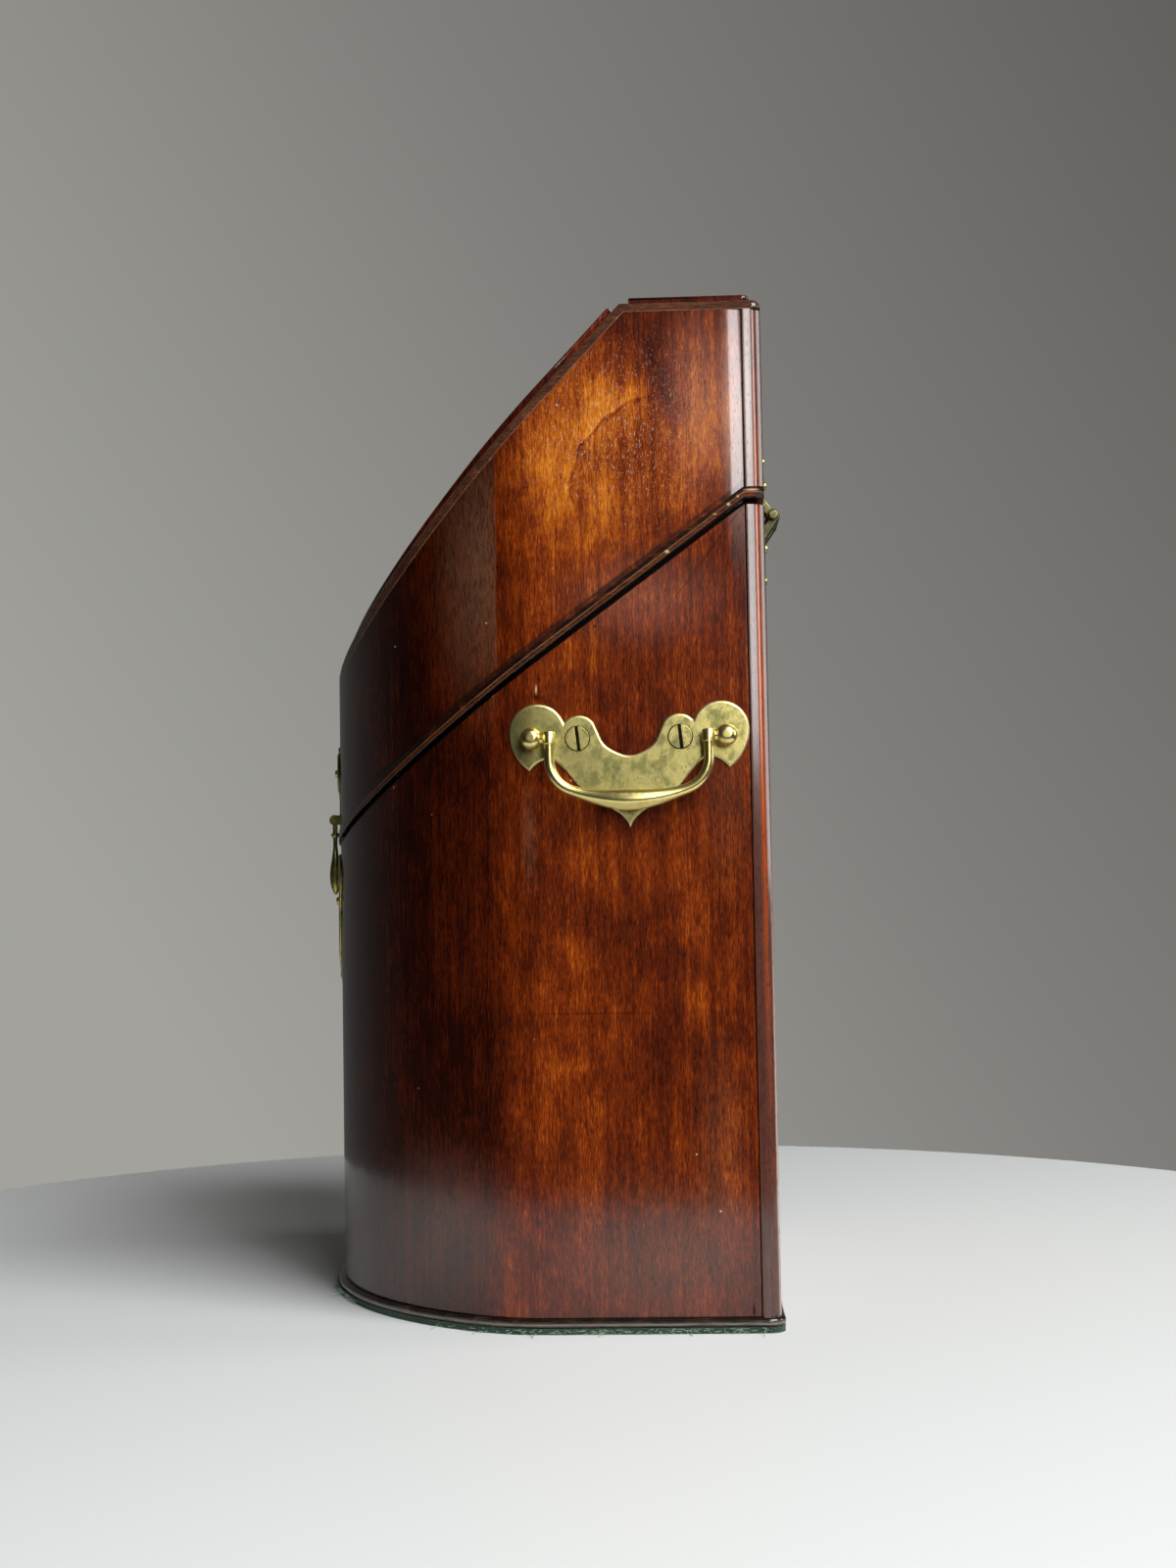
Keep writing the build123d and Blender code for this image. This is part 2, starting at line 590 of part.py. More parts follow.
def make_rack():
    """One board for each row of slots, jointed edge to edge, on battens."""
    panel = upright(plan(-WALL - RACK_FIT), FLOOR_TOP, LID_TOP) & under_seam(RACK_UNDER + RACK_RISE)
    panel = panel - under_seam(RACK_UNDER) - rack_notch()
    rows = rack_rows()
    for number, (y, slots) in enumerate(rows, 1):
        board = panel if number == len(rows) else panel - ahead_of(y - (SLOT_LENGTH + ROW_WEB) / 2)
        panel = panel - board
        for x in slots:
            board -= Pos(x, y, 0) * Box(SLOT_WIDTH, SLOT_LENGTH, 2 * REACH)
        export(f"rack_board_{number}", board)

    under = under_seam(RACK_UNDER) - under_seam(RACK_UNDER - BATTEN)
    inside = upright(plan(-WALL), FLOOR_TOP, LID_TOP)
    ledge = (inside - upright(plan(-WALL - BATTEN), FLOOR_TOP, LID_TOP)) & under
    ends = [BACK - BATTEN_START, BACK - BATTEN_END, POST_Y[0] - NUT_RADIUS - BATTEN_CLEARANCE]
    side = ledge & (ahead_of(ends[0]) - ahead_of(ends[1])) & right_of(0)
    front = (ledge & ahead_of(ends[2]) & right_of(0)) - rack_notch()
    export("rack_battens", group(both_sides(side) + both_sides(front)))


# ---- lid ----
def lid_edging():
    """Rounded band round the upper edges of the lid."""
    block = upright(plan(0, 0, STRIP_ROUND), CASE_BOTTOM, LID_TOP) & under_lid()
    block -= under_seam()
    edges = ShapeList([
        edge for face in block.faces().filter_by(GeomType.PLANE) if face.normal_at().Z > 0.1
        for edge in face.edges()
    ])
    rim = [edge for edge in edges if sum(edge.is_same(other) for other in edges) == 1]
    band = fillet(rim, EDGE_ROUND) - under_lid(EDGE_BAND)
    return band - upright(plan(-EDGE_BAND), CASE_BOTTOM, LID_TOP)


def lid_lip():
    """Moulding along the lid's lower edge, proud of the sides and the bow."""
    strip = upright(plan(LIP_PROUD, 0, STRIP_ROUND), CASE_BOTTOM, LID_TOP)
    strip = (strip & under_seam(LIP_HEIGHT / SEAM_COS)) - under_seam()
    return strip - upright(plan(-LIP_DEPTH), CASE_BOTTOM, LID_TOP)


def lid_walls():
    """Walls rebated at the foot for the lip and cut short under the edging."""
    ring = upright(plan(), CASE_BOTTOM, LID_TOP) & under_lid(EDGE_BAND)
    ring = ring - under_seam() - upright(plan(-LID_WALL), CASE_BOTTOM, LID_TOP)
    rebate = upright(plan(LIP_PROUD), CASE_BOTTOM, LID_TOP) & under_seam(LIP_HEIGHT / SEAM_COS)
    rebate -= upright(plan(-LIP_DEPTH), CASE_BOTTOM, LID_TOP)
    return ring - rebate


def lid_boards():
    """The top board and the slope board, rebated over the walls and mitred together."""
    outer = upright(plan(-EDGE_BAND), CASE_BOTTOM, LID_TOP) & under_lid()
    inner = upright(plan(-LID_WALL), CASE_BOTTOM, LID_TOP) & under_lid(EDGE_BAND)
    boards = (outer - under_lid(EDGE_BAND)) + (inner - under_lid(BOARD))
    return boards & behind_ridge(), boards - behind_ridge()


def lid_panels():
    """Raised panels on the top and on the slope, with rounded upper edges."""
    block = upright(plan(-PANEL_INSET), CASE_BOTTOM, LID_TOP + 2 * BOARD)
    block = (block & under_lid(-PANEL_THICKNESS)) - under_lid()
    ridge_y, ridge_z = ridge(0)

    def down_slope(along, rise):
        along += PANEL_GAP
        return (ridge_y - along * math.cos(SLOPE) - rise * math.sin(SLOPE),
                ridge_z - along * math.sin(SLOPE) + rise * math.cos(SLOPE))

    top = block - ahead_of(ridge_y + PANEL_GAP)
    top = fillet(top.edges().filter_by(Axis.Z).group_by(Axis.Y)[-1], PANEL_THICKNESS)
    slope = block & across([
        down_slope(0, -BOARD), down_slope(0, BOARD), down_slope(REACH, BOARD), down_slope(REACH, -BOARD),
    ], -REACH, REACH)
    panels = []
    for panel in (top, slope):
        face = panel.faces().filter_by(GeomType.PLANE).sort_by(lambda f: f.normal_at().Z * f.area)[-1]
        panels.append(fillet(face.edges(), PANEL_ROUND))
    return panels


def roll_off():
    """What the shallow roll takes off the rear end of the lid's right side."""
    start, end = BACK - STRIP_LENGTH - ROLL_LENGTH, BACK - STRIP_LENGTH
    middle = Pos(HALF - ROLL_RADIUS, start, 0)
    block = Pos(HALF, (start + end) / 2, 0) * Box(2 * STRIP_DEPTH, ROLL_LENGTH, 2 * REACH)
    return block - middle * Cylinder(ROLL_RADIUS, 2 * REACH)


def make_lid():
    right, left, bow, back = split_walls(lid_walls() - strip_room(), LID_WALL)
    side = right - roll_off()
    export("lid_side_right", side)
    export("lid_side_left", mirror(side, about=Plane.YZ))
    export("lid_bow_front", bow - bolt_bar(2 * BOLT_FIT, MORTISE_ROOM) - lid_plate_nails())
    export("lid_back", back - hinge_nails(1))
    export("lid_edge_moulding", lid_edging())
    export("lid_lip_moulding", lid_lip())

    above = under_lid(EDGE_BAND) - under_seam(LIP_HEIGHT / SEAM_COS)
    strip = upright(corner_strip(), CASE_BOTTOM, LID_TOP) & above
    export("lid_corner_beads", group(both_sides(strip)))

    top, slope = lid_boards()
    export("lid_top_board", top)
    export("lid_slope_board", slope)
    top_panel, slope_panel = lid_panels()
    export("lid_top_panel", top_panel)
    export("lid_slope_panel", slope_panel)
    lining = upright(plan(-LID_WALL), CASE_BOTTOM, LID_TOP) & under_lid(BOARD)
    export("lid_lining", lining - under_lid(BOARD + LINING))

    striker = upright(plan(-STRIKER_SET_BACK), CASE_BOTTOM, LID_TOP)
    striker -= upright(plan(-LID_WALL), CASE_BOTTOM, LID_TOP)
    striker &= Box(STRIKER_WIDTH, BODY_DEPTH, 2 * REACH)
    striker = (striker & under_seam()) & ahead_of(BOW_CENTRE)
    striker = striker - under_seam(STRIKER_CLEARANCE - SEAM_GAP)
    striker = striker - bolt_bar(2 * BOLT_FIT, STRIKER_ROOM)
    export("lid_striker_plate", striker)


# ---- plates and drop on the front ----
def lock_plate_face():
    """Shaped escutcheon, given by its right half from the top dip round to the lower point."""
    w, h, top, waist = LOCK_PLATE_HALF, LOCK_PLATE_HEIGHT, LOCK_PLATE_TOP, LOCK_PLATE_WAIST
    foot = top - h
    ear, hip, point = (0.62 * w, top - 0.05 * h), (w, waist + 0.2 * h), (0.12 * w, foot + 0.085 * h)
    return mirrored_outline([
        Spline((0, top - 0.12 * h), (0.2 * w, top - 0.085 * h), (0.42 * w, top - 0.01 * h), ear),
        ThreePointArc(ear, (0.96 * w, top - 0.07 * h), hip),
        ThreePointArc(hip, (0.86 * w, waist + 0.085 * h), (0.8 * w, waist)),
        Spline((0.8 * w, waist), (0.66 * w, waist - 0.17 * h), (0.3 * w, foot + 0.17 * h), point),
        Line(point, (0, foot)),
    ])


def lid_plate_face():
    """Smaller shaped plate on the lid, given in the same way."""
    w, h, foot = LID_PLATE_HALF, LID_PLATE_HEIGHT, LID_PLATE_BOTTOM
    top, shoulder = foot + h, foot + 0.58 * h
    point, waist, toe = (0.14 * w, top - 0.1 * h), (0.5 * w, shoulder - 0.2 * h), (0.2 * w, foot)
    return mirrored_outline([
        Line((0, top), point),
        Spline(point, (0.4 * w, top - 0.18 * h), (0.75 * w, top - 0.2 * h), (w, shoulder)),
        ThreePointArc((w, shoulder), (0.85 * w, shoulder - 0.15 * h), waist),
        Spline(waist, (0.34 * w, shoulder - 0.33 * h), (0.38 * w, foot + 0.1 * h), toe),
        Line(toe, (0, foot)),
    ])


DROP_Y = FRONT - DROP_STANDOFF
CHEEK_X = DROP_EYE_WIDTH / 2 + CHEEK_GAP + CHEEK / 2


def make_front_furniture():
    lock_plate = on_front(lock_plate_face(), 0, PLATE) - key_hole(FRONT - 2 * PLATE, LOCK_FRONT)
    export("lock_plate", lock_plate - lock_plate_nails())
    export("lock_plate_nails", lock_plate_nails())
    export("lid_plate", on_front(lid_plate_face(), 0, PLATE) - lid_plate_nails())
    export("lid_plate_nails", lid_plate_nails())

    cheek = across([
        (FRONT - PLATE, DROP_PIVOT - DROP_EYE), (FRONT - PLATE, DROP_PIVOT + DROP_EYE),
        (DROP_Y - DROP_PIN * 2, DROP_PIVOT + DROP_PIN), (DROP_Y - DROP_PIN * 2, DROP_PIVOT - DROP_PIN),
    ], CHEEK_X - CHEEK / 2, CHEEK_X + CHEEK / 2)
    pin = Pos(0, DROP_Y, DROP_PIVOT) * Rot(0, 90, 0) * Cylinder(DROP_PIN, 2 * CHEEK_X + CHEEK)
    export("drop_bracket", group(both_sides(cheek - pin)))
    export("drop_pin", pin)

    eye = Rot(0, 90, 0) * Cylinder(DROP_EYE, DROP_EYE_WIDTH)
    neck_end = -DROP_EYE - DROP_NECK_LENGTH
    collar_end = neck_end - DROP_COLLAR_LENGTH
    profile = make_face([
        Line((0, -DROP_EYE / 2), (DROP_NECK, -DROP_EYE / 2)),
        Line((DROP_NECK, -DROP_EYE / 2), (DROP_NECK, neck_end)),
        ThreePointArc(
            (DROP_NECK, neck_end), (DROP_COLLAR, (neck_end + collar_end) / 2), (DROP_NECK, collar_end)),
        Spline(
            (DROP_NECK, collar_end), (1.2 * DROP_NECK, -0.55 * DROP_BULB_DOWN),
            (DROP_BULB, -DROP_BULB_DOWN), (DROP_TIP, -DROP_LENGTH)),
        Line((DROP_TIP, -DROP_LENGTH), (0, -DROP_LENGTH)),
        Line((0, -DROP_LENGTH), (0, -DROP_EYE / 2)),
    ])
    body = revolve(Plane.XZ * profile, Axis.Z)
    hole = Rot(0, 90, 0) * Cylinder(DROP_PIN + PIN_CLEARANCE, 2 * DROP_EYE_WIDTH)
    export("front_drop", Pos(0, DROP_Y, DROP_PIVOT) * (eye + body - hole))


# ---- bails on the sides ----
def handle_face():
    """Batwing plate in (y, z) about the middle of the handle, from its right half."""
    post, screw, head = POST_SPACING / 2, SCREW_SPACING / 2, SCREW_RADIUS
    lobe, up, down = HANDLE_LOBE, HANDLE_PLATE_UP, -HANDLE_PLATE_DOWN
    notch, end = (screw + 1.06 * head, 0.45 * up), (post + lobe, 0.16 * up)
    tip, waist = (post + 0.12 * lobe, 0.35 * down), (post - 0.84 * lobe, 0.217 * down)
    foot, lobe_start = (0.27 * screw, 0.817 * down), (screw - 1.48 * head, 0.28 * up)
    return mirrored_outline([
        Spline((0, -0.5 * up), (0.24 * screw, -0.41 * up), (0.45 * screw, -0.22 * up), lobe_start,
               tangents=[(1, 0), (0.4, 0.92)]),
        ThreePointArc(lobe_start, (screw - 0.26 * head, 0.655 * up), notch),
        ThreePointArc(notch, (post - 0.24 * lobe, up), end),
        ThreePointArc(end, (post + 0.82 * lobe, -0.36 * up), tip),
        ThreePointArc(tip, (post - 0.3 * lobe, 0.255 * down), waist),
        Spline(waist, (screw + 0.7 * head, 0.4 * down), (screw - 0.28 * head, 0.57 * down),
               (0.51 * screw, 0.733 * down), foot),
        ThreePointArc(foot, (0.11 * screw, 0.894 * down), (0, down)),
    ])


BAIL_LEG_Y = POST_SPACING / 2 - LEG_INSET


def bail(x):
    """A bail hanging from its pivots at x."""
    turn = math.radians(BAIL_TURN)
    corner_y = BAIL_LEG_Y - BAIL_CORNER * (1 - math.cos(turn))
    grip_radius = corner_y / math.cos(turn)
    bend_drop = BAIL_CORNER * math.sin(turn) + grip_radius * (1 - math.sin(turn))
    straight = BAIL_DROP - bend_drop
    leg = [
        Line((BAIL_LEG_Y, 0), (BAIL_LEG_Y, -straight)),
        ThreePointArc(
            (BAIL_LEG_Y, -straight),
            (BAIL_LEG_Y - BAIL_CORNER * (1 - math.cos(turn / 2)),
             -straight - BAIL_CORNER * math.sin(turn / 2)),
            (corner_y, -straight - BAIL_CORNER * math.sin(turn))),
    ]
    path = Wire(leg)
    tube = sweep(Plane(origin=path @ 0, z_dir=path % 0) * Circle(BAIL_LEG), path)
    sections = []
    for share in (-1, -0.66, -0.33, 0, 0.33, 0.66, 1):
        angle = share * (math.pi / 2 - turn)
        swell = (1 + math.cos(math.pi * share)) / 2
        centre = (grip_radius * math.sin(angle),
                  grip_radius * (1 - math.cos(angle)) - BAIL_DROP)
        along = (math.cos(angle), math.sin(angle), 0)
        radius = BAIL_LEG + (BAIL_GRIP - BAIL_LEG) * swell
        sections.append(Plane(origin=(*centre, 0), z_dir=along) * Circle(radius))
    grip = loft(sections)
    pin_length = LEG_INSET - BALL_RADIUS + PIN_ENGAGEMENT
    pin = Pos(BAIL_LEG_Y + pin_length / 2, 0, 0) * Rot(0, 90, 0) * Cylinder(BAIL_PIN, pin_length)
    half = tube + pin + Pos(BAIL_LEG_Y, 0, 0) * Sphere(BAIL_LEG * 1.15)
    whole = grip + half + mirror(half, about=Plane.YZ)
    standing = Plane(origin=(0, 0, 0), x_dir=(0, 1, 0), z_dir=(1, 0, 0))
    return Pos(x, HANDLE_Y, HANDLE_HEIGHT) * (standing.location * whole)


def make_handle():
    standing = Plane(origin=(0, HANDLE_Y, HANDLE_HEIGHT), x_dir=(0, 1, 0), z_dir=(1, 0, 0))
    plate = extrude(standing * handle_face(), BODY_WIDTH, dir=(1, 0, 0)) & bow_skin(0, PLATE)
    nuts = [
        turned(NUT_RADIUS, y, nut_seat(y) - NUT_THICKNESS, nut_seat(y)) for y in POST_Y
    ]
    shapes = {
        "handle_plate": plate - handle_screws() - bail_posts(),
        "handle_screws": handle_screws(),
        "handle_posts": bail_posts(),
        "handle_nuts": group(nuts) - bail_posts(),
    }
    for name, shape in shapes.items():
        export(f"{name}_right", shape)
        export(f"{name}_left", mirror(shape, about=Plane.YZ))
    export("bail_right", bail(BAIL_X))
    export("bail_left", bail(-BAIL_X))


# ---- hinges on the back ----
def knuckle(x, width):
    ring = Cylinder(KNUCKLE_RADIUS, width) - Cylinder(HINGE_PIN + PIN_CLEARANCE, width)
    return Pos(x, HINGE_Y, HINGE_Z) * Rot(0, 90, 0) * ring


def web(x, width, up):
    """The bent root that joins a leaf to its knuckle; up is 1 on the lid and -1 on the case."""
    back, face = -HINGE_OFFSET, LEAF - HINGE_OFFSET
    points = [(back, LEAF_START), (face, LEAF_START), (0.88 * KNUCKLE_RADIUS, 0.4 * KNUCKLE_RADIUS),
              (0, 0.25 * KNUCKLE_RADIUS), (-0.7 * KNUCKLE_RADIUS, 0.7 * KNUCKLE_RADIUS),
              (back, LEAF_START / 2)]
    placed = [(HINGE_Y + y, HINGE_Z + up * z) for y, z in points]
    bore = Pos(x, HINGE_Y, HINGE_Z) * Rot(0, 90, 0) * Cylinder(HINGE_PIN + PIN_CLEARANCE, 2 * width)
    return across(placed, x - width / 2, x + width / 2) - bore


def leaf(up):
    """Flat of a leaf on the back face, tapering to a round tip."""
    root, tip = LEAF_START, LEAF_START + LEAF_LENGTH - LEAF_TIP
    half = HINGE_WIDTH / 2
    shoulder = root + LEAF_SHOULDER
    outline = make_face(Polyline((-half, root), (half, root), (half, shoulder), (0.7 * LEAF_TIP, tip),
                                 (-0.7 * LEAF_TIP, tip), (-half, shoulder), close=True))
    outline += Pos(0, tip) * Circle(LEAF_TIP)
    standing = Plane(origin=(HINGE_X, BACK, HINGE_Z), x_dir=(1, 0, 0), z_dir=(0, -1, 0))
    if up < 0:
        outline = mirror(outline, about=Plane.XZ)
    return extrude(standing * outline, LEAF, dir=(0, 1, 0))


def make_hinges():
    width = HINGE_WIDTH / 3 - KNUCKLE_GAP
    outer = HINGE_WIDTH / 3
    lower = leaf(-1)
    for x in (HINGE_X - outer, HINGE_X + outer):
        lower = lower + knuckle(x, width) + web(x, width, -1)
    upper = leaf(1) + knuckle(HINGE_X, width) + web(HINGE_X, width, 1)
    end = fillet(Cylinder(PIN_END, PIN_END).edges(), PIN_END / 3)
    ends = [Pos(0, 0, side * (HINGE_WIDTH + PIN_END) / 2) * end for side in (-1, 1)]
    pin = Pos(HINGE_X, HINGE_Y, HINGE_Z) * Rot(0, 90, 0) * (Cylinder(HINGE_PIN, HINGE_WIDTH) + ends)
    for name, leaf_shape, up in (("case", lower, -1), ("lid", upper, 1)):
        nails = hinge_nails(up)
        export(f"hinge_leaves_{name}", group([leaf - nails for leaf in both_sides(leaf_shape)]))
        export(f"hinge_nails_{name}", nails)
    export("hinge_pins", group(both_sides(pin)))


def main():
    os.makedirs("parts", exist_ok=True)
    make_base()
    make_lock()
    make_case()
    make_rack()
    make_lid()
    make_front_furniture()
    make_handle()
    make_hinges()


main()
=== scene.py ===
# %% [markdown]
# # A bow-fronted knife box
# The box arrives as a fixed frame: every board, hinge and plate at its real size and place. This file
# gives the pieces their finish, softens the arrises as handling does, rebuilds the brass with its
# small shapes, and lights them. It is in metres, +Z up, the bow towards -Y, the right side +X.

# %% Load the frame
import json
import math
import random

import bmesh
import bpy
from mathutils import Matrix, Vector


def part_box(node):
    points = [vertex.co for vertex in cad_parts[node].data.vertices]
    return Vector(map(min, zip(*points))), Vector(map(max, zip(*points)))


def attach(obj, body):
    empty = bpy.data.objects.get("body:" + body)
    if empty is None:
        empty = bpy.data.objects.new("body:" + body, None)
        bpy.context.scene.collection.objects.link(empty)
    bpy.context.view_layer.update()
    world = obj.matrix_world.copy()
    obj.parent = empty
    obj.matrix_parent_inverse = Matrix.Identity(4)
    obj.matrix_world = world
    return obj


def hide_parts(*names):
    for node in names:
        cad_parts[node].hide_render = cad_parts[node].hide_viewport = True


MM = 0.001
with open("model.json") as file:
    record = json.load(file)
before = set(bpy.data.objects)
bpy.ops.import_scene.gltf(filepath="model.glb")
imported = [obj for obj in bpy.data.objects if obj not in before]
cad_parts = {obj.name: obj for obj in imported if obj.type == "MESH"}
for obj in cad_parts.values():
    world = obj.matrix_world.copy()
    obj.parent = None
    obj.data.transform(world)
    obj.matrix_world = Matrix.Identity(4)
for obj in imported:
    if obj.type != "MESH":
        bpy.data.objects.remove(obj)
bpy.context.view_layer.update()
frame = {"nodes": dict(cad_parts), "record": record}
nodes = frame["nodes"]
slots = {part["node"]: part["material_slot"] for part in frame["record"]["subparts"]}
bodies = {node: body for body, held in frame["record"]["behaviour"]["bodies"].items() for node in held}
print("pieces in the frame:", len(nodes))

# %% [markdown]
# A lens of 46 mm on a 36 mm sensor, level with the middle of the box, looks square at the right side.
# It is pitched up three degrees and rolled one, as if held by hand. Building its matrix from three
# directions keeps each of those numbers visible.

# %% Camera
CAMERA_AT = Vector((832.4, 50.7, 155.3)) * MM
CAMERA_PITCH = math.radians(3.149)
CAMERA_ROLL = math.radians(-0.984)
LOOK_ASIDE = math.atan(0.0419)
LENS_SHARE = 2050 / 1600       # lens length over the height of the frame

level = Vector((-math.cos(LOOK_ASIDE), -math.sin(LOOK_ASIDE), 0))
right = level.cross(Vector((0, 0, 1)))
forward = math.cos(CAMERA_PITCH) * level + math.sin(CAMERA_PITCH) * Vector((0, 0, 1))
up = right.cross(forward)
tilt = Matrix.Rotation(-CAMERA_ROLL, 3, forward)
camera = bpy.data.objects.new("camera", bpy.data.cameras.new("camera"))
camera.data.sensor_width = 36
camera.data.lens = camera.data.sensor_width * LENS_SHARE
axes = Matrix((tilt @ right, tilt @ up, -forward)).transposed()
camera.matrix_world = Matrix.Translation(CAMERA_AT) @ axes.to_4x4()
camera.data.clip_start = 0.01
bpy.context.scene.collection.objects.link(camera)
bpy.context.scene.camera = camera
bpy.context.scene.view_settings.view_transform = "Standard"
print("camera looks along", [round(v, 3) for v in forward])

# %% [markdown]
# Colours are written as sRGB hex values, the way a paint chart gives them, and one function turns
# them into the linear values that shaders use. A second function adds a node with its settings and
# links, which is all that a node material needs.

# %% Colours and nodes
def colour(text):
    """Linear RGBA from an sRGB hex value such as '6b2e14'."""
    def linear(pair):
        value = int(pair, 16) / 255
        return value / 12.92 if value <= 0.04045 else ((value + 0.055) / 1.055) ** 2.4
    return (*[linear(text[i:i + 2]) for i in (0, 2, 4)], 1.0)


def add(tree, kind, settings=None, **links):
    """A shader node with its settings; a link is socket_name=value, or _3=value for socket 3."""
    node = tree.nodes.new("ShaderNode" + kind)
    for name, value in (settings or {}).items():
        setattr(node, name, value)
    for name, value in links.items():
        key = int(name[1:]) if name[0] == "_" and name[1:].isdigit() else name.replace("_", " ")
        socket = node.inputs[key]
        if isinstance(value, bpy.types.NodeSocket):
            tree.links.new(value, socket)
        else:
            socket.default_value = value
    return node


def material(name):
    """An empty material and its node tree."""
    made = bpy.data.materials.new(name)
    made.use_nodes = True
    made.node_tree.nodes.clear()
    return made, made.node_tree


# settings that many nodes share
SMOOTH = {"interpolation_type": "SMOOTHSTEP"}
COLOURS = {"data_type": "RGBA"}
PRODUCT = {"operation": "MULTIPLY", "use_clamp": True}
print("mahogany brown in linear light:", [round(v, 3) for v in colour("6b2e14")[:3]])

# %% [markdown]
# Wood reads its pattern from Object coordinates: every piece sits at the origin, so the grain runs on
# from one board to the next as in one sheet of veneer. Noise stretched along the grain makes
# streaks, and its scale comes from a real size in millimetres. The left side mirrors the right, as
# when two leaves are cut from one log.

# %% Patterns for wood
def mirrored_place(tree):
    """Object coordinates with x made positive, so that both sides share one pattern."""
    apart = add(tree, "SeparateXYZ", _0=add(tree, "TexCoord").outputs["Object"])
    distance = add(tree, "Math", {"operation": "ABSOLUTE"}, _0=apart.outputs[0])
    return add(tree, "CombineXYZ", _0=distance.outputs[0], _1=apart.outputs[1],
               _2=apart.outputs[2]).outputs[0]


def streaks(tree, place, width, length, detail, along=2, rough=0.5):
    """Noise from 0 to 1 with features of a width and a length in millimetres, long along one axis."""
    scale = [1.0, 1.0, 1.0]
    scale[along] = width / length
    stretched = add(tree, "Mapping", _0=place, Scale=scale)
    return add(tree, "TexNoise", Vector=stretched.outputs[0], Scale=1 / (width * MM), Detail=detail,
               Roughness=rough).outputs["Fac"]


def soft_spot(tree, place, centre, reach):
    """1 at the centre of an ellipsoid and 0 outside it, both given in millimetres."""
    centred = add(tree, "Mapping", {"vector_type": "TEXTURE"}, Vector=place,
                  Location=Vector(centre) * MM, Scale=Vector(reach) * MM)
    distance = add(tree, "VectorMath", {"operation": "LENGTH"}, _0=centred.outputs[0])
    return add(tree, "MapRange", SMOOTH, Value=distance.outputs["Value"], To_Min=1.0,
               To_Max=0.0).outputs[0]


def stained(ramp, stops):
    """Gives a colour ramp its (position, hex) stops, and returns its colour."""
    while len(ramp.color_ramp.elements) < len(stops):
        ramp.color_ramp.elements.new(1.0)
    for element, (position, text) in zip(ramp.color_ramp.elements, stops):
        element.position = position
        element.color = colour(text)
    return ramp.outputs[0]


def total(tree, start, parts):
    """start plus each (value, weight), by multiply-add nodes one after another."""
    for value, weight in parts:
        node = add(tree, "Math", {"operation": "MULTIPLY_ADD"}, _0=value, _1=weight)
        if isinstance(start, bpy.types.NodeSocket):
            tree.links.new(start, node.inputs[2])
        else:
            node.inputs[2].default_value = start
        start = node.outputs[0]
    return start


print("a stripe 1.3 mm wide and 15 mm long needs a noise of scale", round(1 / (1.3 * MM)))

# %% [markdown]
# Some marks follow the shape of the box: a dark band above the lid's lip, painted shade in the gap
# below it and above the base's nosing, and arrises painted pale as highlights. Such a band lies
# between two distances, in height or square to the seam between case and lid.
# The seam is level at the back and falls towards the front.

# %% Bands along the seam and the base
SEAM_HEIGHT = 297.3            # underside of the lid at the back, mm
SEAM_TURN = 78.5               # depth at which the seam starts to fall, mm
SEAM_DROP, SEAM_RUN = 120, 164.5        # how far it falls, and over what length, mm
SEAM_FALL = SEAM_DROP / SEAM_RUN
SEAM_COS = math.cos(math.atan(SEAM_FALL))


def level_of(tree, place, kind):
    """Millimetres up from the floor ("height"), or up from the seam and square to it ("seam")."""
    apart = add(tree, "SeparateXYZ", _0=place)
    if kind == "height":
        return total(tree, 0.0, [(apart.outputs[2], 1 / MM)])
    held = add(tree, "Math", {"operation": "MINIMUM"}, _0=apart.outputs[1], _1=SEAM_TURN * MM)
    start = SEAM_COS * (SEAM_FALL * SEAM_TURN - SEAM_HEIGHT)
    return total(tree, start, [(apart.outputs[2], SEAM_COS / MM),
                               (held.outputs[0], -SEAM_FALL * SEAM_COS / MM)])


def banded(tree, place, bands):
    """(share, hex) of each band, given as (kind, low, high, softness, share, hex) in millimetres."""
    coats = []
    for kind, low, high, soft, share, text in bands:
        waver = streaks(tree, place, 4, 9, 2.0, along=1)
        level = total(tree, level_of(tree, place, kind), [(waver, soft)])
        start = add(tree, "MapRange", SMOOTH, Value=level, From_Min=low, From_Max=low + soft)
        end = add(tree, "MapRange", SMOOTH, Value=level, From_Min=high, From_Max=high + soft)
        inside = total(tree, 0.0, [(start.outputs[0], share), (end.outputs[0], -share)])
        patchy = add(tree, "MapRange", SMOOTH, Value=waver, From_Min=0.30, From_Max=0.55, To_Min=0.45)
        shown = add(tree, "Math", PRODUCT, _0=inside, _1=patchy.outputs[0])
        coats.append((shown.outputs[0], text))
    return coats


print("seam falls", round(SEAM_FALL, 3), "for each millimetre forward")

# %% [markdown]
# Mahogany veneer under French polish is the face of the whole box: a deep red-brown that turns amber
# where the grain rises to the light, crossed by short dark pores and a fine ribbon. Handling has left
# the polish cloudy in places, chipped it, and let dust settle. Each of these is a soft spot at a
# place in millimetres on the right side, and the left side mirrors it. A list of spots is easier to
# move and to read than a painted map.

# %% Marks on the veneer
VENEER = [(0.0, "120300"), (0.2, "2d0a02"), (0.38, "4f1904"), (0.54, "772d07"), (0.7, "a8540f"),
          (0.85, "d07c1c"), (1.0, "e9ab52")]


def marks(x, deep, *rows):
    """Soft spots at x and deep mm through; a row is (y, z, reach along y, reach along z, weight)."""
    return [((x, y, z), (deep, wide, high), weight) for y, z, wide, high, weight in rows]
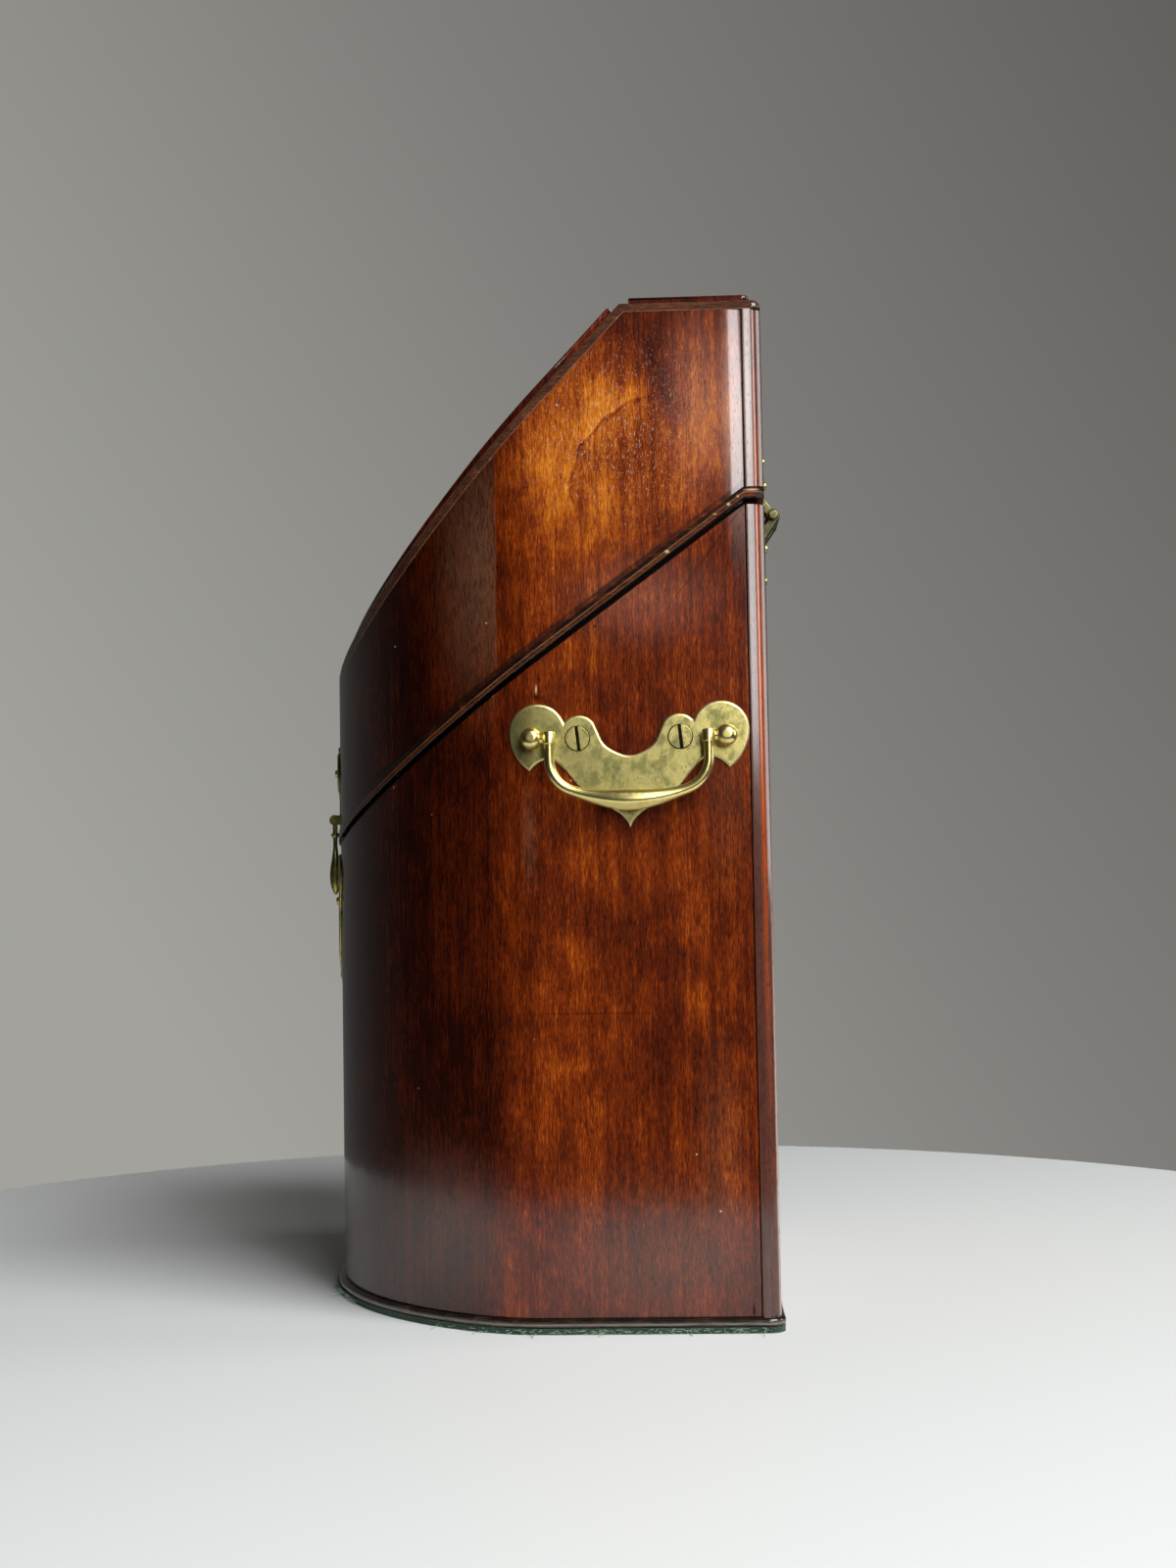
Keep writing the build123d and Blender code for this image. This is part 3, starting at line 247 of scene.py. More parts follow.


# brighter and darker figure
# the spot at 61 mm and 325 mm is lighter wood and partly a painted sheen, beside the lid's white
# reflection
FIGURE = marks(
    111, 60, (15, 308, 40, 56, 0.34), (2, 292, 12, 46, 0.10), (30, 330, 17, 20, 0.09),
    (61, 325, 22, 60, 0.26), (35, 264, 34, 20, 0.07), (22, 240, 24, 16, 0.05),
    (34, 168, 30, 22, 0.14), (8, 110, 20, 90, 0.05), (61, 121, 13, 15, 0.15),
    (56, 144, 12, 13, 0.12), (14, 130, 16, 12, 0.10), (15, 92, 15, 12, 0.08),
    (42, 98, 18, 24, -0.07), (20, 60, 40, 40, 0.03))
# two lobes of pale figure with a crisp edge behind them, and where that edge fades out
CREST_LOBES = marks(111, 60, (20, 346, 29, 29, 1.0), (2, 309, 28, 36, 1.0))
CREST_FADE = marks(111, 60, (26, 324, 44, 52, 0.13))
# the bow is a second sheet of veneer, darker than the sides', with a painted grey sheen beside the
# joint in the lid
BOW_FIGURE = marks(108, 60, (-12, 110, 30, 120, -0.05), (-12, 300, 22, 90, -0.06))
BOW_PAINTED_SHEEN = marks(110, 60, (-19, 272, 22, 66, 0.68))
# polish gone cloudy, and a pale painted sheen that stands for reflections on the lid and low on
# the case and bow
BLOOM = marks(111, 60, (-1, 176, 4, 26, 0.35), (70, 190, 12, 46, 0.15), (66, 60, 14, 60, 0.22),
              (40, 30, 50, 40, 0.16))
PAINTED_SHEEN = marks(111, 60, (64, 334, 20, 46, 0.10), (77, 330, 8, 70, 0.35), (50, 24, 60, 30, 0.03),
             (42, 262, 40, 24, 0.06))
PAINTED_SHEEN += marks(108, 60, (-42, 34, 46, 40, 0.10))
# crazed polish, its fine lines painted pale as glints: painted highlights
CRAZE_GLINTS = marks(111, 60, (34, 322, 56, 52, 0.75))
# dents that have filled with dirt, and one long split
DENTS = marks(108, 4, (-26, 272, 1.1, 4.5, 0.9), (-25, 264, 0.9, 2.6, 0.9))
DENTS += marks(111, 4, (2.4, 226.5, 3.2, 1.6, 0.8), (24, 252, 1.2, 1.0, 0.7), (70, 140, 1.4, 2.2, 0.7),
               (19, 112.8, 40, 0.55, 0.55), (76.0, 7.5, 0.7, 3.8, 1.0), (40, 90, 0.5, 12, 0.4),
               (58, 62, 0.5, 16, 0.35))
# chips down to pale wood
CHIPS = marks(111, 4, (2.3, 229.6, 0.55, 2.4, 0.9), (-40, 56, 0.8, 1.3, 0.7))
print("marks on the veneer:", sum(len(marks) for marks in (FIGURE, BLOOM, PAINTED_SHEEN, CRAZE_GLINTS, DENTS, CHIPS)))

# %% [markdown]
# One recipe makes every polished wood here. An image of veneer would show its edges and repeat; noise
# has neither fault and keeps its scale in millimetres. Layers of stretched noise, from broad clouds
# down to single pores, add up to a tone, and a ramp turns the tone into a colour. Figure is soft
# spots, pushed about by another noise so that their outlines curl as figured wood does.

# %% Layers and spots
# layers of tone: (width, length, detail, roughness, weight), for mottle, ribbon and stripe
LAYERS = [(8, 14, 4.0, 0.6, 0.34), (3.0, 140, 3.0, 0.6, 0.36), (1.3, 15, 4.0, 0.65, 0.36)]
CLOUD_SHARE, GRAIN_SHARE, FLECK_SHARE = 0.11, 0.72, 0.34
PORE, GLINT_LEVEL, SPECK = (0.60, 0.72), (0.585, 0.66), (0.032, 0.018)        # levels from none to full
CURL, CURL_PUSH = 26, 34       # size of the curls and how far they push an outline, mm
# (low, high, gain) of the pale figure and of its dark outline
CREST_INSIDE, CREST_AROUND = (0.14, 0.19, 1.9), (0.07, 0.12, -0.9)
# painted shade: the wood darkens between these depths towards the front, where the bow turns from the
# light
BOW_FROM, BOW_TO = 2, -48      # depths between which the wood darkens towards the front, mm
GRAIN_DEPTH, COAT_DEPTH = 0.02, 0.10                    # bumps of the wood and of the polish, mm
SHELLAC = 1.54                 # its index of refraction
# two of these colours are painted light: the milky one is a painted sheen and the craze one painted
# glints; the cloudy one also gives the bow its painted grey sheen
CLOUDY_AND_SHEEN_COLOUR, PAINTED_SHEEN_COLOUR, PAINTED_GLINT_COLOUR, PALE_WOOD, DUST = "6b4c38", "d2bdb2", "c9a48e", "d9b48a", "a89a8e"


def spots(tree, place, places, start=0.0):
    """Several soft spots of one kind, each with its own weight, added together."""
    return total(tree, start, [(soft_spot(tree, place, c, r), w) for c, r, w in places])


def curled(tree, place):
    """Places pushed about by a noise, so that a soft spot takes the outline of figured wood."""
    push = add(tree, "TexNoise", Vector=place, Scale=1 / (CURL * MM), Detail=2.0).outputs["Color"]
    every_way = Vector((1, 1, 1)) * CURL_PUSH * MM
    moved = add(tree, "VectorMath", {"operation": "MULTIPLY_ADD"}, _0=push, _1=every_way, _2=place)
    return add(tree, "VectorMath", _0=moved.outputs[0], _1=every_way / -2).outputs[0]


print("stretched layers of tone:", len(LAYERS))

# %% [markdown]
# The marks are laid over the wood in turn: clouding, which on the bow is a painted grey sheen; a pale
# painted sheen; crazing painted pale as glints; dirt; bands of painted shade and highlight and a dark
# band along the seam and the base; chips; and dust.
# Each is a share and a colour, and a loop mixes them one after another, as coats go on. The colour
# sits in the base and the gloss in a clear coat with a bump of its own, because shellac is nearly
# flat and mirrors the room, but has sunk a little into the grain.

# %% Polished wood
def polished(name, stops, base, figure=(), crest=(), clouding_and_sheen=(), haze=(), craze_glints=(), dents=(),
             chips=(), bow=0.0, along=2, coat=0.12, contrast=1.0, dust=0.0, bands=(), shine=1.0,
             wave=1.0, curl=True):
    """Wood under shellac. base is the middle of the ramp, and bow is painted shade, darker towards the
    front.
    """
    made, tree = material(name)
    place = mirrored_place(tree)
    cloud = add(tree, "MapRange", SMOOTH, Value=streaks(tree, place, 30, 75, 3.0, along),
                From_Min=0.38, From_Max=0.62)
    layers = [(cloud.outputs[0], CLOUD_SHARE)]
    layers += [(streaks(tree, place, width, length, detail, along, rough), weight)
               for width, length, detail, rough, weight in LAYERS]
    # real pores are 0.2 mm wide and 2 mm long: drawn twice as coarse, so that they show
    grain = streaks(tree, place, 0.5, 4.0, 3.0, along, 0.7)
    fleck = streaks(tree, place, 0.36, 2.8, 1.0, along)
    layers += [(grain, GRAIN_SHARE), (fleck, FLECK_SHARE)]
    layers = [(value, weight * contrast) for value, weight in layers]
    tone = total(tree, base - sum(weight for _, weight in layers) / 2, layers)
    if figure:
        tone = spots(tree, curled(tree, place) if curl else place, figure, tone)
    if crest:
        lobes, fade = crest
        rise = spots(tree, curled(tree, place), lobes)
        # pale inside the lobes, with a thin dark line around them
        steps = [(add(tree, "MapRange", SMOOTH, Value=rise, From_Min=low, From_Max=high).outputs[0], gain)
                 for low, high, gain in (CREST_INSIDE, CREST_AROUND)]
        edge = total(tree, 0.0, steps)
        share = add(tree, "Math", {"operation": "MULTIPLY"}, _0=edge, _1=spots(tree, place, fade))
        tone = total(tree, tone, [(share.outputs[0], 1.0)])
    # painted shade: darker towards the front, where the bow turns from the light
    if bow:
        apart = add(tree, "SeparateXYZ", _0=place)
        front = add(tree, "MapRange", SMOOTH, Value=apart.outputs[1], From_Min=BOW_FROM * MM,
                    From_Max=BOW_TO * MM)
        tone = total(tree, tone, [(front.outputs[0], -bow)])
    coats = []
    # clouded polish, which on the bow is a painted grey sheen
    if clouding_and_sheen:
        # the grain still shows through the cloud as darker lines
        thin = add(tree, "MapRange", SMOOTH, Value=grain, From_Min=0.36, From_Max=0.58, To_Min=0.35,
                   To_Max=1.15)
        clouding_and_sheen_share = add(tree, "Math", PRODUCT, _0=spots(tree, place, clouding_and_sheen), _1=thin.outputs[0])
        coats.append((clouding_and_sheen_share.outputs[0], CLOUDY_AND_SHEEN_COLOUR))
    # haze is a painted sheen: pale reflections painted into the colour
    if haze:
        coats.append((spots(tree, place, haze), PAINTED_SHEEN_COLOUR))
    # painted glints: the crazing's fine lines painted pale, as light caught in them
    if craze_glints:
        lines = add(tree, "MapRange", SMOOTH, Value=streaks(tree, place, 0.42, 1.1, 3.0, along, 0.6),
                    From_Min=GLINT_LEVEL[0], From_Max=GLINT_LEVEL[1])
        glint_share = add(tree, "Math", PRODUCT, _0=lines.outputs[0], _1=spots(tree, place, craze_glints))
        coats.append((glint_share.outputs[0], PAINTED_GLINT_COLOUR))
    pores = add(tree, "MapRange", SMOOTH, Value=fleck, From_Min=PORE[0], From_Max=PORE[1])
    pits = spots(tree, place, dents)
    dark = total(tree, pits, [(pores.outputs[0], 0.7)])
    coats.append((dark, stops[0][1]))
    coats += banded(tree, place, bands)
    if chips:
        coats.append((spots(tree, place, chips), PALE_WOOD))
    if dust:
        cell = add(tree, "TexVoronoi", Vector=place, Scale=1 / (dust * MM)).outputs["Distance"]
        speck = add(tree, "MapRange", SMOOTH, Value=cell, From_Min=SPECK[0], From_Max=SPECK[1])
        coats.append((speck.outputs[0], DUST))
    wood = stained(add(tree, "ValToRGB", _0=tone), stops)
    for share, text in coats:
        wood = add(tree, "Mix", COLOURS, _0=share, _6=wood, _7=colour(text)).outputs[2]
    sunk = add(tree, "Bump", Strength=0.5, Distance=GRAIN_DEPTH * MM, Height=grain)
    wavy = streaks(tree, place, 9, 30, 2.0, along)
    surface = total(tree, 0.0, [(wavy, wave), (dark, -0.04), (grain, 0.05), (fleck, 0.02)])
    coat_bump = add(tree, "Bump", Strength=1.0, Distance=COAT_DEPTH * MM, Height=surface)
    gloss = total(tree, shine, [(pits, -shine)] if dents else [])       # a dent has lost its polish
    shader = add(tree, "BsdfPrincipled", Base_Color=wood, Roughness=0.5, Specular_IOR_Level=0.03,
                 Normal=sunk.outputs[0], Coat_Weight=gloss, Coat_Roughness=coat, Coat_IOR=SHELLAC,
                 Coat_Normal=coat_bump.outputs[0])
    add(tree, "OutputMaterial", Surface=shader.outputs[0])
    return made


print("places of the ramp for veneer:", [place for place, _ in VENEER])

# %% [markdown]
# The sides and the back share one figured sheet. The bow is a second, darker one, and the two meet in
# a crisp line at the joint. The raised panels have no figure, only an even ribbon.

# %% Veneers
BRIGHT, QUIET = 0.395, 0.33    # middle of the ramp for figured wood and for the panels
# painted shade: how much darker the wood grows towards the front, where the bow turns from the light
FRONT_PAINTED_SHADE = 0.2
DUST_APART = 16                # mm between specks of dust
# a dark band above the lid's lip, and painted shade on the top of the case in the gap
DARK_BAND_AND_GAP_SHADE = [("seam", 2.9, 5.4, 1.0, 0.75, "1a100b"), ("seam", -2.0, 0.0, 0.3, 0.8, "0a0605")]
mahogany = polished("french_polished_mahogany", VENEER, BRIGHT, FIGURE, (CREST_LOBES, CREST_FADE),
                    BLOOM, PAINTED_SHEEN, CRAZE_GLINTS, DENTS, CHIPS, bow=FRONT_PAINTED_SHADE, dust=DUST_APART, bands=DARK_BAND_AND_GAP_SHADE)
bow_mahogany = polished("french_polished_mahogany_bow", VENEER, BRIGHT, BOW_FIGURE, (), BOW_PAINTED_SHEEN,
                        PAINTED_SHEEN, (), DENTS, CHIPS, bow=FRONT_PAINTED_SHADE, dust=DUST_APART, bands=DARK_BAND_AND_GAP_SHADE)
panel_mahogany = polished("french_polished_mahogany_panel", VENEER, QUIET, dust=DUST_APART)
print("veneer nodes:", len(mahogany.node_tree.nodes))

# %% [markdown]
# The mouldings and the base are solid mahogany, cut along the grain and stained nearly black by
# polish and dust, so the same recipe takes a darker ramp. The strips in the rear corners never
# faded, and stay orange-red. Inside, the boards are only waxed: their coat is rough.

# %% Solid and plain mahogany
STAINED = [(0.0, "0a0302"), (0.35, "1d0905"), (0.6, "3b170b"), (0.8, "6a2f17"), (1.0, "945431")]
RED_STRIP = [(0.0, "140803"), (0.36, "3b2018"), (0.52, "573228"), (0.7, "8c3c14"), (1.0, "b8561e")]
WORN_BASE = [(0.0, "0a0605"), (0.35, "211812"), (0.6, "41352d"), (0.8, "6a5a4c"), (1.0, "94806c")]
LIP = [(0.0, "140804"), (0.4, "2f1408"), (0.6, "58290f"), (0.8, "86441b"), (1.0, "b3723e")]
EDGE = [(0.0, "140904"), (0.4, "41251a"), (0.6, "633c28"), (0.8, "875a3e"), (1.0, "a97c5a")]
# the rim strips inside are painted near black: painted shade, so that the gap under the lid reads black
GAP_SHADE_STOPS = [(0.0, "030202"), (1.0, "130b08")]
WAXED = [(0.0, "1e0b06"), (0.35, "4a2113"), (0.6, "6f3a22"), (1.0, "9a6242")]
# on the lip: painted shade along its foot as in the gap, painted highlights on its two arrises, and a
# dark band above them; on the base: a painted highlight along the nosing, and painted shade above it
LIP_SHADE_AND_HIGHLIGHTS = [("seam", -9.0, 0.45, 0.4, 0.95, "0a0605"), ("seam", 0.45, 0.6, 0.3, 0.3, "a67a54"),
             ("seam", 1.7, 1.8, 0.3, 0.6, "cdb08e"), ("seam", 2.0, 9.0, 0.3, 0.9, "110906")]
BASE_HIGHLIGHT_AND_SHADE = [("height", 3.2, 3.6, 0.9, 0.6, "9d968c"), ("height", 4.5, 9.0, 0.4, 0.9, "080605")]
LIP_CHIPS = marks(112, 4, (50.5, 278.4, 1.3, 0.9, 1.0), (73.0, 295.1, 1.0, 0.9, 0.9),
                  (68.0, 291.6, 1.0, 0.5, 0.7), (81.5, 300.2, 3.8, 0.6, 1.0),
                  (76.4, 297.9, 0.7, 0.7, 0.9))
# on the corner strips: a red line that fades towards the base, a painted highlight on the bead,
# and a painted highlight down the outer edge, strongest near the base
STRIP_LINE = marks(111, 400, (83.3, 235, 1.7, 235, 0.34))
STRIP_PAINTED_HIGHLIGHTS = marks(111, 400, (80.6, 334, 2.4, 60, 0.45), (80.6, 250, 2.0, 60, 0.12))
STRIP_PAINTED_HIGHLIGHTS += marks(111, 6, (85.7, 60, 0.8, 190, 0.9))
dark_mahogany = polished("stained_mahogany_moulding", STAINED, 0.56, along=1)
lip_mahogany = polished("mahogany_lip_moulding", LIP, 0.5, chips=LIP_CHIPS, along=1, bands=LIP_SHADE_AND_HIGHLIGHTS)
edge_mahogany = polished("mahogany_edge_band", EDGE, 0.52, along=1)
# a painted highlight: the pale finish of the bevelled arrises of the edge band and the panels
arris_painted_highlight = polished("mahogany_arris_painted_highlight", EDGE, 0.86, along=1)
base_mahogany = polished("worn_mahogany_base_painted_highlight_and_shade", WORN_BASE, 0.5, along=1, bands=BASE_HIGHLIGHT_AND_SHADE)
# painted shade: the rim strips seen through the gap under the lid
gap_shade_mahogany = polished("mahogany_rim_painted_gap_shade", GAP_SHADE_STOPS, 0.5, coat=0.5, shine=0.1)
red_mahogany = polished("mahogany_corner_strip", RED_STRIP, 0.44, STRIP_LINE, haze=STRIP_PAINTED_HIGHLIGHTS,
                        contrast=0.5, wave=0.25, curl=False)
plain_mahogany = polished("waxed_mahogany_board", WAXED, 0.5, along=0, coat=0.35, contrast=0.6)
print("woods so far:", len(bpy.data.materials))

# %% [markdown]
# Old brass is lacquered, and the lacquer has failed in patches. There the metal is dull and
# grey-green; where hands rub it, it is bright and yellow. One noise drives both the colour and the
# roughness, because tarnish changes the two together. The lock inside is plain steel, gone grey-brown
# and dull under old oil. A metal keeps the default IOR.

# %% Brass and steel
SPOT_LEVEL, SPOT_EDGE = 0.63, 0.11
ROUGHER = 0.10                 # what tarnish or dirt adds to the roughness
HAMMER = 3.2                   # mm between hammer marks


def metal(name, clean, dull, dirty, rough, size=3.5, worn=0.5, spotted=0.4, dents=0.05, soft=1.0):
    """Worn metal: clean and dull patches of a size in millimetres, and dirt in small spots.

    soft is the width of the edge of a patch or spot, as a share of the usual one.
    """
    made, tree = material(name)
    place = add(tree, "TexCoord").outputs["Object"]
    cloud = streaks(tree, place, size, size * 1.3, 4.0, rough=0.6)
    # the more worn, the lower the level at which a dull patch starts
    middle, half = 0.66 - worn * 0.25, (0.10 + worn * 0.05) * soft
    patch = add(tree, "MapRange", SMOOTH, Value=cloud, From_Min=middle - half,
                From_Max=middle + half).outputs[0]
    fine = streaks(tree, place, size * 0.18, size * 0.3, 3.0, rough=0.7)
    dirt = add(tree, "MapRange", SMOOTH, Value=fine, From_Min=SPOT_LEVEL - SPOT_EDGE * soft,
               From_Max=SPOT_LEVEL + SPOT_EDGE * soft).outputs[0]
    skin = colour(clean)
    for share, text in ((patch, dull), (total(tree, 0.0, [(dirt, spotted)]), dirty)):
        skin = add(tree, "Mix", COLOURS, _0=share, _6=skin, _7=colour(text)).outputs[2]
    haze = total(tree, rough, [(patch, ROUGHER), (dirt, ROUGHER)])
    hammered = total(tree, 0.0, [(streaks(tree, place, HAMMER, HAMMER, 2.0), 1.0), (fine, 0.12)])
    bump = add(tree, "Bump", Strength=1.0, Distance=dents * MM, Height=hammered)
    shader = add(tree, "BsdfPrincipled", Base_Color=skin, Metallic=1.0, Roughness=haze,
                 Normal=bump.outputs[0])
    add(tree, "OutputMaterial", Surface=shader.outputs[0])
    return made


brass = metal("lacquered_brass", "d0c27a", "8f8a55", "4c4f36", 0.36, size=4.4, worn=0.55,
              spotted=0.75, soft=0.8)
bright_brass = metal("handled_brass", "e6d68a", "cdbd72", "8f844a", 0.29, size=7, worn=0.1,
                     spotted=0.12, dents=0.02)
slot_dirt = metal("dirt_in_a_screw_slot", "2a2418", "1b1710", "0f0d0a", 0.6)
filed_brass = metal("filed_brass_edge", "dccf92", "c3b878", "8c8450", 0.42, worn=0.3, spotted=0.4)
dark_brass = metal("tarnished_brass", "6f6949", "4b4833", "24231b", 0.34, worn=0.6, spotted=0.5)
iron = metal("old_lock_steel", "8b867c", "66605a", "3a2f27", 0.38)
print("metals:", brass.name, bright_brass.name, filed_brass.name, dark_brass.name, iron.name)

# %% [markdown]
# Baize is a felted woollen cloth: matt, dark green, and hairy at a cut edge. Velvet is a pile, which
# looks dark face on and pale at a glance, so it takes a sheen.

# %% Cloth
def cloth(name, deep, pale, fibre, sheen, tint):
    """Matt cloth with a fibre size in millimetres."""
    made, tree = material(name)
    place = add(tree, "TexCoord").outputs["Object"]
    fuzz = streaks(tree, place, fibre, fibre * 2.5, 3.0, along=0, rough=0.7)
    worn = streaks(tree, place, 14, 14, 2.0)
    tone = total(tree, -0.25, [(fuzz, 1.0), (worn, 0.5)])
    wool = stained(add(tree, "ValToRGB", _0=tone), [(0.2, deep), (0.8, pale)])
    bump = add(tree, "Bump", Strength=1.0, Distance=fibre * 0.6 * MM, Height=fuzz)
    shader = add(tree, "BsdfPrincipled", Base_Color=wool, Roughness=0.95, Normal=bump.outputs[0],
                 Sheen_Weight=sheen, Sheen_Roughness=0.4, Sheen_Tint=colour(tint))
    add(tree, "OutputMaterial", Surface=shader.outputs[0])
    return made


baize = cloth("green_baize", "0a110d", "35503f", 0.7, 0.5, "8fa896")
velvet = cloth("crimson_velvet", "33070d", "6d1a24", 0.6, 0.8, "c97b83")
print("cloths:", baize.name, velvet.name)

# %% [markdown]
# Every node of the frame names a material slot, so a plain finish goes on by slot. A piece that has a
# finish of its own gets it later, when it is rebuilt.

# %% Finishes by slot
finishes = {
    "mahogany": mahogany, "dark_mahogany": dark_mahogany, "plain_mahogany": plain_mahogany,
    "brass": brass, "lock_metal": iron, "baize": baize, "velvet": velvet,
}
for name, node in nodes.items():
    node.data.materials.clear()
    node.data.materials.append(finishes[slots[name]])
nodes["base_board"].data.materials[0] = base_mahogany
nodes["hinge_pins"].data.materials[0] = dark_brass
print("slots:", len(finishes))

# %% [markdown]
# A CAD solid has knife-sharp arrises, and nothing real has, so each piece gets bevels. What a bevel
# needs next is good normals: flat faces must stay flat and curved ones smooth. Each corner takes the
# normal of its largest faces, and on the case's outline it takes the outline's own direction, so that
# the polish runs unbroken from the side board round to the bow.

# %% Outline of the case
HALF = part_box("case_side_right")[1].x
FRONT = -0.086                 # the middle of the bow, m
SHOULDER_RADIUS = 57.5 * MM
SWEEP = math.radians(28.0)     # what the shoulder turns before the bow takes over
SHOULDER_X = HALF - SHOULDER_RADIUS
BOW_RADIUS = SHOULDER_RADIUS + SHOULDER_X / math.cos(SWEEP)
BOW_CENTRE = FRONT + BOW_RADIUS
SHOULDER_Y = BOW_CENTRE - (BOW_RADIUS - SHOULDER_RADIUS) * math.sin(SWEEP)
JOINT_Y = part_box("case_side_right")[0].y
NEAR_FLAT = math.cos(math.radians(1))       # on the flat sides, where the lid also rolls off
NEAR_CURVE = math.cos(math.radians(8))      # on the facets of the bow


def outward(place):
    """The direction square to the case's outline, seen from above."""
    side = math.copysign(1, place.x)
    if place.y >= SHOULDER_Y:
        return Vector((side, 0, 0))
    if math.atan2(BOW_CENTRE - place.y, abs(place.x)) > SWEEP:
        return Vector((place.x, place.y - BOW_CENTRE, 0)).normalized()
    return Vector((place.x - side * SHOULDER_X, place.y - SHOULDER_Y, 0)).normalized()


def corner_normal(vert, on_outline):
    """The normal of a corner: the outline's where a face follows it, or its largest faces'."""
    if on_outline:
        away = outward(vert.co)
        near = NEAR_FLAT if vert.co.y > SHOULDER_Y + MM else NEAR_CURVE
        for face in vert.link_faces:
            if abs(face.normal.dot(away)) > near:
                return math.copysign(1, face.normal.dot(away)) * away
    mean = Vector()
    for face in vert.link_faces:
        mean += face.normal * face.calc_area()
    return mean.normalized() if mean.length > 0 else Vector((0, 0, 1))


print("joint at y", round(JOINT_Y, 4), "and shoulder at y", round(SHOULDER_Y, 4))

# %% [markdown]
# Two helpers serve every piece. A node arrives as loose triangles, so one makes a merged copy with
# whole faces and bevels its arrises, except in the joint between side board and bow, where the veneer
# runs on. The other makes an object of a shape with its normals and its finish, hides the node it
# stands for, and hangs it from an empty for the body it rides on.

# %% Soften a piece of the frame
MERGE = 0.002 * MM
FLAT = math.radians(0.3)


def at_joint(edge):
    """Is this edge in the plane where the side boards meet the bow?"""
    return all(abs(vert.co.y - JOINT_Y) < 0.05 * MM for vert in edge.verts)


def merged(name, angle):
    """A copy of a node with its triangles joined where they turn by less than an angle."""
    shape = bmesh.new()
    shape.from_mesh(nodes[name].data)
    bmesh.ops.remove_doubles(shape, verts=shape.verts, dist=MERGE)
    bmesh.ops.dissolve_limit(shape, angle_limit=angle, verts=shape.verts, edges=shape.edges)
    return shape


def eased(name, width, steps=2, least=0.0, corner=35, marked=False):
    """A merged copy of a node with its arrises bevelled; edges shorter than least mm stay.

    marked gives the bevels material index 1, for a finish of their own.
    """
    shape = merged(name, FLAT)
    # the seam's level part ends a hair past the side boards: too short a step for a bevel
    stubs = [edge for edge in shape.edges if edge.calc_length() < width * MM
             and abs(edge.verts[0].co.y - edge.verts[1].co.y) > 0.999 * edge.calc_length()]
    bmesh.ops.collapse(shape, edges=stubs)
    arrises = [edge for edge in shape.edges if edge.calc_face_angle(0) > math.radians(corner)
               and edge.calc_length() > least * MM and not at_joint(edge)]
    if arrises:
        worn = bmesh.ops.bevel(shape, geom=arrises, affect="EDGES", offset_type="OFFSET",
                               offset=width * MM, segments=steps, profile=0.5, material=-1,
                               clamp_overlap=False)
        for face in worn["faces"] if marked else ():
            face.material_index = 1
    return shape


def placed(shape, name, *finish):
    """An object at the origin with the mesh of a bmesh, which is freed."""
    mesh = bpy.data.meshes.new(name)
    shape.to_mesh(mesh)
    shape.free()
    made = bpy.data.objects.new(name, mesh)
    bpy.context.scene.collection.objects.link(made)
    for one in filter(None, finish):
        mesh.materials.append(one)
    return made


def finished(shape, name, stands_for, finish=None, on_outline=False, rim=None, sharp=None):
    """Makes an object of a bmesh, standing for nodes of the frame and riding on their body.

    rim is the finish of faces with material index 1. With sharp, edges over that many degrees stay
    crisp; without it, every corner takes its normal from corner_normal.
    """
    first = stands_for[0]
    shape.normal_update()
    normals = [corner_normal(vert, on_outline) for vert in shape.verts]
    for face in shape.faces:
        face.smooth = True
    made = placed(shape, name, finish or finishes[slots[first]], rim)
    if sharp:
        made.data.set_sharp_from_angle(angle=math.radians(sharp))
    else:
        made.data.normals_split_custom_set_from_vertices(normals)
    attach(made, bodies[first])
    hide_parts(*stands_for)
    return made


print("corners closer than", MERGE, "m become one")

# %% [markdown]
# The boards differ in how far they have worn: the thin arrises of the lid are nearly sharp, and the
# rim strips inside are well rounded. Edges shorter than 0.9 mm belong to holes for nails and screws
# and stay. The bevels of the edge moulding and the panels are painted pale: a painted highlight on
# their rubbed arrises.

# %% Boards and mouldings
BOARD_EDGES = {
    "case_side_right": 0.22, "case_side_left": 0.22, "case_bow_front": 0.35, "case_back": 0.35,
    "rim_strip_right": 0.6, "rim_strip_left": 0.6, "rim_strip_front": 0.6, "rim_strip_back": 0.6,
    "lid_side_right": 0.22, "lid_side_left": 0.22, "lid_bow_front": 0.3, "lid_back": 0.3,
    "lid_lip_moulding": 0.45, "lid_edge_moulding": 0.25, "lid_top_panel": 0.3, "lid_slope_panel": 0.3,
}
OWN_FINISH = {"case_bow_front": bow_mahogany, "lid_bow_front": bow_mahogany,
              "lid_lip_moulding": lip_mahogany, "lid_edge_moulding": edge_mahogany,
              "lid_top_panel": panel_mahogany, "lid_slope_panel": panel_mahogany}
LEAST_EDGE = 0.9               # mm
for name, width in BOARD_EDGES.items():
    own = gap_shade_mahogany if name.startswith("rim_strip") else OWN_FINISH.get(name)
    highlit_arrises = own in (edge_mahogany, panel_mahogany)
    finished(eased(name, width, steps=3, least=LEAST_EDGE, marked=highlit_arrises), name + "_board", [name],
             own, on_outline=True, rim=arris_painted_highlight if highlit_arrises else None)
print("boards softened:", len(BOARD_EDGES))

for number in range(1, 5):
    name = f"rack_board_{number}"
    finished(eased(name, 0.4, least=LEAST_EDGE), name + "_wood", [name])

# %% [markdown]
# Each rear corner holds a strip with a bead along its front. Long dusting has worn the bead nearly
# flat on the outside, which is why it shines as one broad band. Pressing its outer corners out towards
# a leaning plane gives that worn face and leaves the rest of the bead round. Behind it the round of
# the strip has lost its outermost wood, which leaves a flat between the side and the back.

